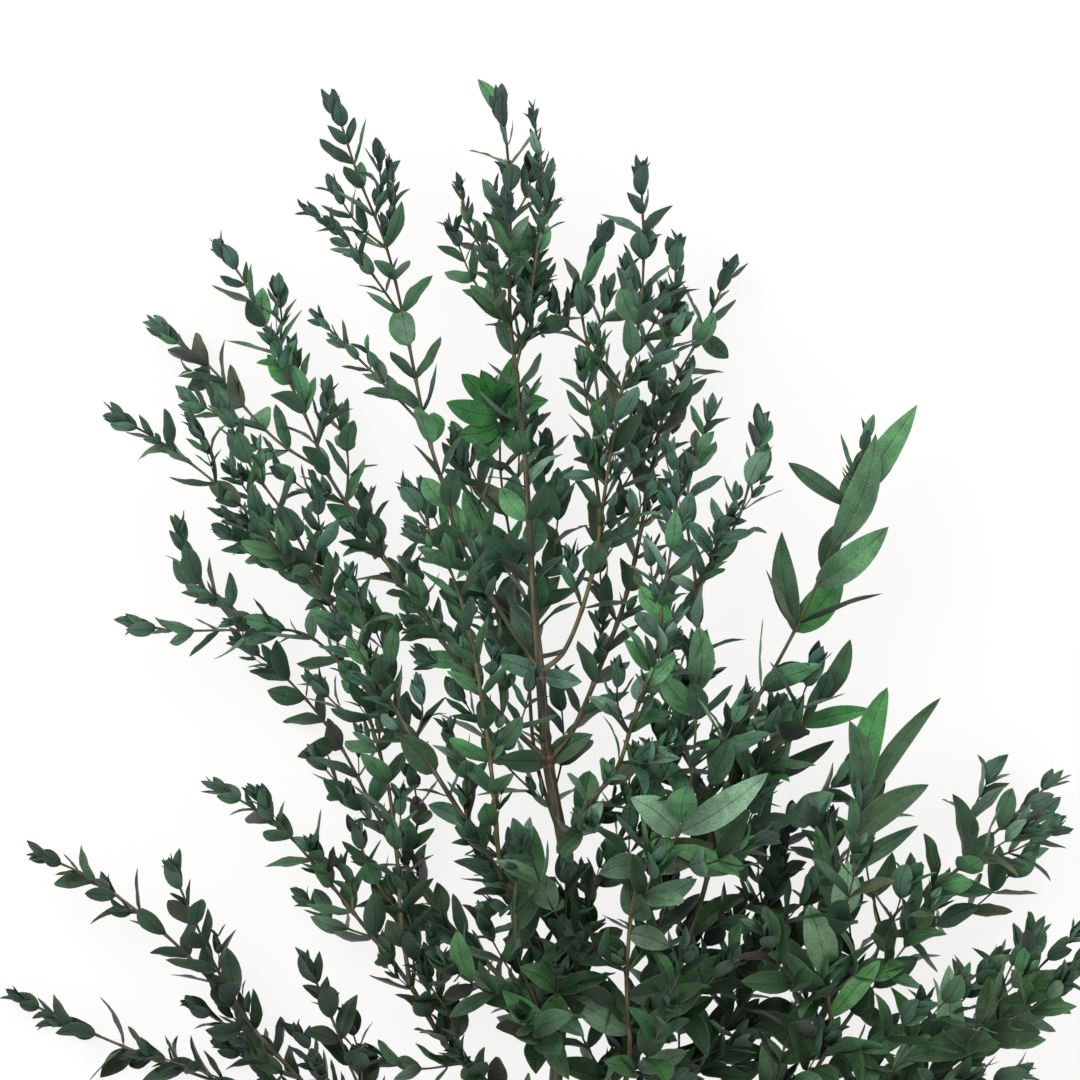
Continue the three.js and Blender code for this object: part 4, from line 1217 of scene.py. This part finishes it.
def leafMaterial():
    s, look = Shader("leaf"), leafLook
    place = s.attribute("bladePlace", "Vector")
    apart = s.node("ShaderNodeSeparateXYZ")
    s.link(place, apart.inputs[0])
    cloud = s.spread(s.noise(place, *look["cloud"]), *look["cloudRange"], (0.0, look["cloudShare"]))
    tint = s.mix(cloud, s.attribute("leafTintAndPaintedLight", "Color"), shade(look["shadow"]))
    grain = s.noise(place, *look["grain"])
    darker = s.spread(grain, *look["grainRange"], (0.0, look["grainShare"]))
    tint = s.mix(darker, tint, shade(look["speck"]), "MULTIPLY")
    slant = s.math("MULTIPLY", s.math("ABSOLUTE", apart.outputs["X"]), look["veinSlant"])
    rise = s.math("SUBTRACT", apart.outputs["Y"], slant)
    wave = s.math("SINE", s.math("MULTIPLY", rise, 2 * np.pi / look["veinGap"]))
    vein = s.spread(wave, look["veinFrom"], 1.0)
    tint = s.mix(s.math("MULTIPLY", vein, look["veinShare"]), tint, shade(look["midrib"]))
    under = s.attribute("underSide", "Fac")
    tint = s.mix(s.math("MULTIPLY", under, look["bloomShare"]), tint, shade(look["bloom"]))
    rib = s.spread(s.attribute("ribAside", "Fac"), *look["ribWidth"], (1.0, 0.0))
    faded = s.spread(s.noise(place, *look["fading"]), *look["fadingRange"], look["ribShare"])
    tint = s.mix(s.math("MULTIPLY", rib, faded), tint, shade(look["midrib"]))
    # Painted sheen along the margin: a pale band on the rim of each leaf
    margin = s.spread(s.attribute("bladeRim", "Fac"), look["rimSheenFrom"], 1.0, (0.0, look["rimSheenShare"]))
    tint = s.mix(margin, tint, shade(look["margin"]))
    specks = s.spread(s.noise(place, *look["specks"]), *look["speckRange"], (0.0, look["speckShare"]))
    tint = s.mix(specks, tint, shade(look["speck"]))
    sunk = s.math("ADD", grain, s.math("MULTIPLY", rib, look["ribDepth"]))
    s.bump(s.math("ADD", s.math("MULTIPLY", vein, look["veinDepth"]), sunk), *look["bump"])
    return s.finish(tint, s.spread(grain, *unevenness, look["roughness"]), look["gloss"])


# Bark: the tint of its thickness with light and dark streaks along the wood, flecks and a
# dull surface
barkLook = {
    "light": "#77735a", "dark": "#27231b",
    "streaks": (0.8, 3.0), "streakLength": 0.1,
    "lightRange": (0.52, 0.66), "lightShare": 0.6, "darkRange": (0.34, 0.5), "darkShare": 0.75,
    "flecks": (1.1, 4.0), "fleckRange": (0.5, 0.75), "fleckShare": 0.5,
    "roughness": (0.62, 0.85), "gloss": 0.3, "bump": (0.5, 0.0002),
}


def barkMaterial():
    s, look = Shader("stem_bark"), barkLook
    place = s.attribute("barkPlace", "Vector")
    stretched = s.node("ShaderNodeVectorMath", operation="MULTIPLY")
    s.link(place, stretched.inputs[0])
    stretched.inputs[1].default_value = (1.0, 1.0, look["streakLength"])
    streak = s.noise(stretched.outputs[0], *look["streaks"])
    fleck = s.noise(place, *look["flecks"])
    light = s.spread(streak, *look["lightRange"], (0.0, look["lightShare"]))
    dark = s.spread(streak, *look["darkRange"], (look["darkShare"], 0.0))
    flecks = s.spread(fleck, *look["fleckRange"], (0.0, look["fleckShare"]))
    tint = s.mix(light, s.attribute("barkTint", "Color"), shade(look["light"]))
    tint = s.mix(flecks, s.mix(dark, tint, shade(look["dark"])), shade(look["dark"]))
    s.bump(s.math("ADD", streak, fleck), *look["bump"])
    return s.finish(tint, s.spread(streak, *unevenness, look["roughness"]), look["gloss"])


leafFinish, barkFinish = leafMaterial(), barkMaterial()
stemRun = runThrough(mainStem["route"])
print("leaf and bark materials made")


# A node's leaves and wood, which take the place of its solid
def dress(name, shoots, wood, mood="common", brightness=1.0):
    corners = nodeCorners(name)
    found, stalks, sides = zip(*(leavesOf(shoot, corners) for shoot in shoots))
    wood = wood + [tubed for lot in stalks for tubed in stalkTubes(lot)]
    wood += [twigTube(side, twig["lateralSides"]) for lot in sides for side in lot]
    leaves = joined(found)
    foliage = leafPiece(name + "_leaves", leaves, (mood, brightness), leafFinish)
    twigs = tubePiece(name + "_wood", wood, barkFinish)
    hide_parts(name)
    print(name, "with", len(leaves["long"]), "leaves and", len(foliage.data.polygons), "faces")


# The leader is the upper main stem: leafy above its last pair of branches
leader = {
    **mainStem["leaf"], "key": 0, "run": stemRun, "phase": 0, "habit": habits["small"], "kind": "small",
    "radius": (mainStem["leaf"]["thick"], growth["tipRadius"]),
    "bare": stemRun["toPoint"][mainStem["leafyFrom"]], "stripped": stemRun["total"],
}
leaderShoots = drawnShoots(mainStem["shoots"], 1, True)
dress("main_stem", [leader, *leaderShoots], [mainTube(stemRun), *map(twigTube, leaderShoots)])
for i, (name, shoots) in enumerate(sprays.items()):
    drawn = drawnShoots(shoots, 10 * (i + 1), False)
    dress(name, drawn, [twigTube(shoot) for shoot in drawn], *sprayMoods.get(name, ()))

# A pale floor, broad soft lights, and a camera straight above the part of the stem in view
stage = {
    "floor": "#5c5b5a", "floorSize": 6.0, "floorHeight": -0.0004, "roughness": 0.9,
    "glow": (1.0, 0.995, 0.985, 1.0), "glowStrength": 0.85,
    "world": (1.0, 1.0, 1.0, 1.0), "worldStrength": 0.7,
    "lightsAim": (0.0, 0.1, 0.05),
}
floorMaterial = Shader("floor")
floorSurface = {"Base Color": shade(stage["floor"]), "Roughness": stage["roughness"],
                "Emission Color": stage["glow"], "Emission Strength": stage["glowStrength"]}
for label, value in floorSurface.items():
    floorMaterial.surface.inputs[label].default_value = value
half = stage["floorSize"] / 2
floorMesh = bpy.data.meshes.new("floor")
around = ((-half, -half), (half, -half), (half, half), (-half, half))
floorCorners = [(x, y, stage["floorHeight"]) for x, y in around]
floorMesh.from_pydata(floorCorners, [], [(0, 1, 2, 3)])
floorMesh.materials.append(floorMaterial.material)
floor = bpy.data.objects.new("floor", floorMesh)
bpy.context.scene.collection.objects.link(floor)

world = bpy.data.worlds.new("studio")
world.use_nodes = True
world.node_tree.nodes["Background"].inputs["Color"].default_value = stage["world"]
world.node_tree.nodes["Background"].inputs["Strength"].default_value = stage["worldStrength"]
bpy.context.scene.world = world

lights = {
    "key": {"place": (-0.9, 1.1, 1.9), "size": 1.8, "power": 44.0},
    "fill": {"place": (1.3, -0.5, 1.7), "size": 2.2, "power": 12.0},
}
for label, light in lights.items():
    lamp = bpy.data.lights.new(label, "AREA")
    lamp.shape = "DISK"
    lamp.size = light["size"]
    lamp.energy = light["power"]
    holder = bpy.data.objects.new(label, lamp)
    holder.location = light["place"]
    aim = np.array(stage["lightsAim"]) - np.array(light["place"])
    holder.rotation_euler = Vector(aim).to_track_quat("-Z", "Y").to_euler()
    bpy.context.scene.collection.objects.link(holder)

# field is the width in view at the height of focus
view = {"place": (-0.002, 0.121, 2.46), "field": 0.486, "focus": 0.06, "sensor": 36.0}
cameraData = bpy.data.cameras.new("camera")
cameraData.sensor_width = view["sensor"]
cameraData.lens = view["sensor"] * (view["place"][2] - view["focus"]) / view["field"]
camera = bpy.data.objects.new("camera", cameraData)
camera.location = view["place"]
bpy.context.scene.collection.objects.link(camera)
bpy.context.scene.camera = camera
bpy.context.scene.view_settings.view_transform = "Standard"
print("floor, lights and camera set")

bpy.context.view_layer.update()
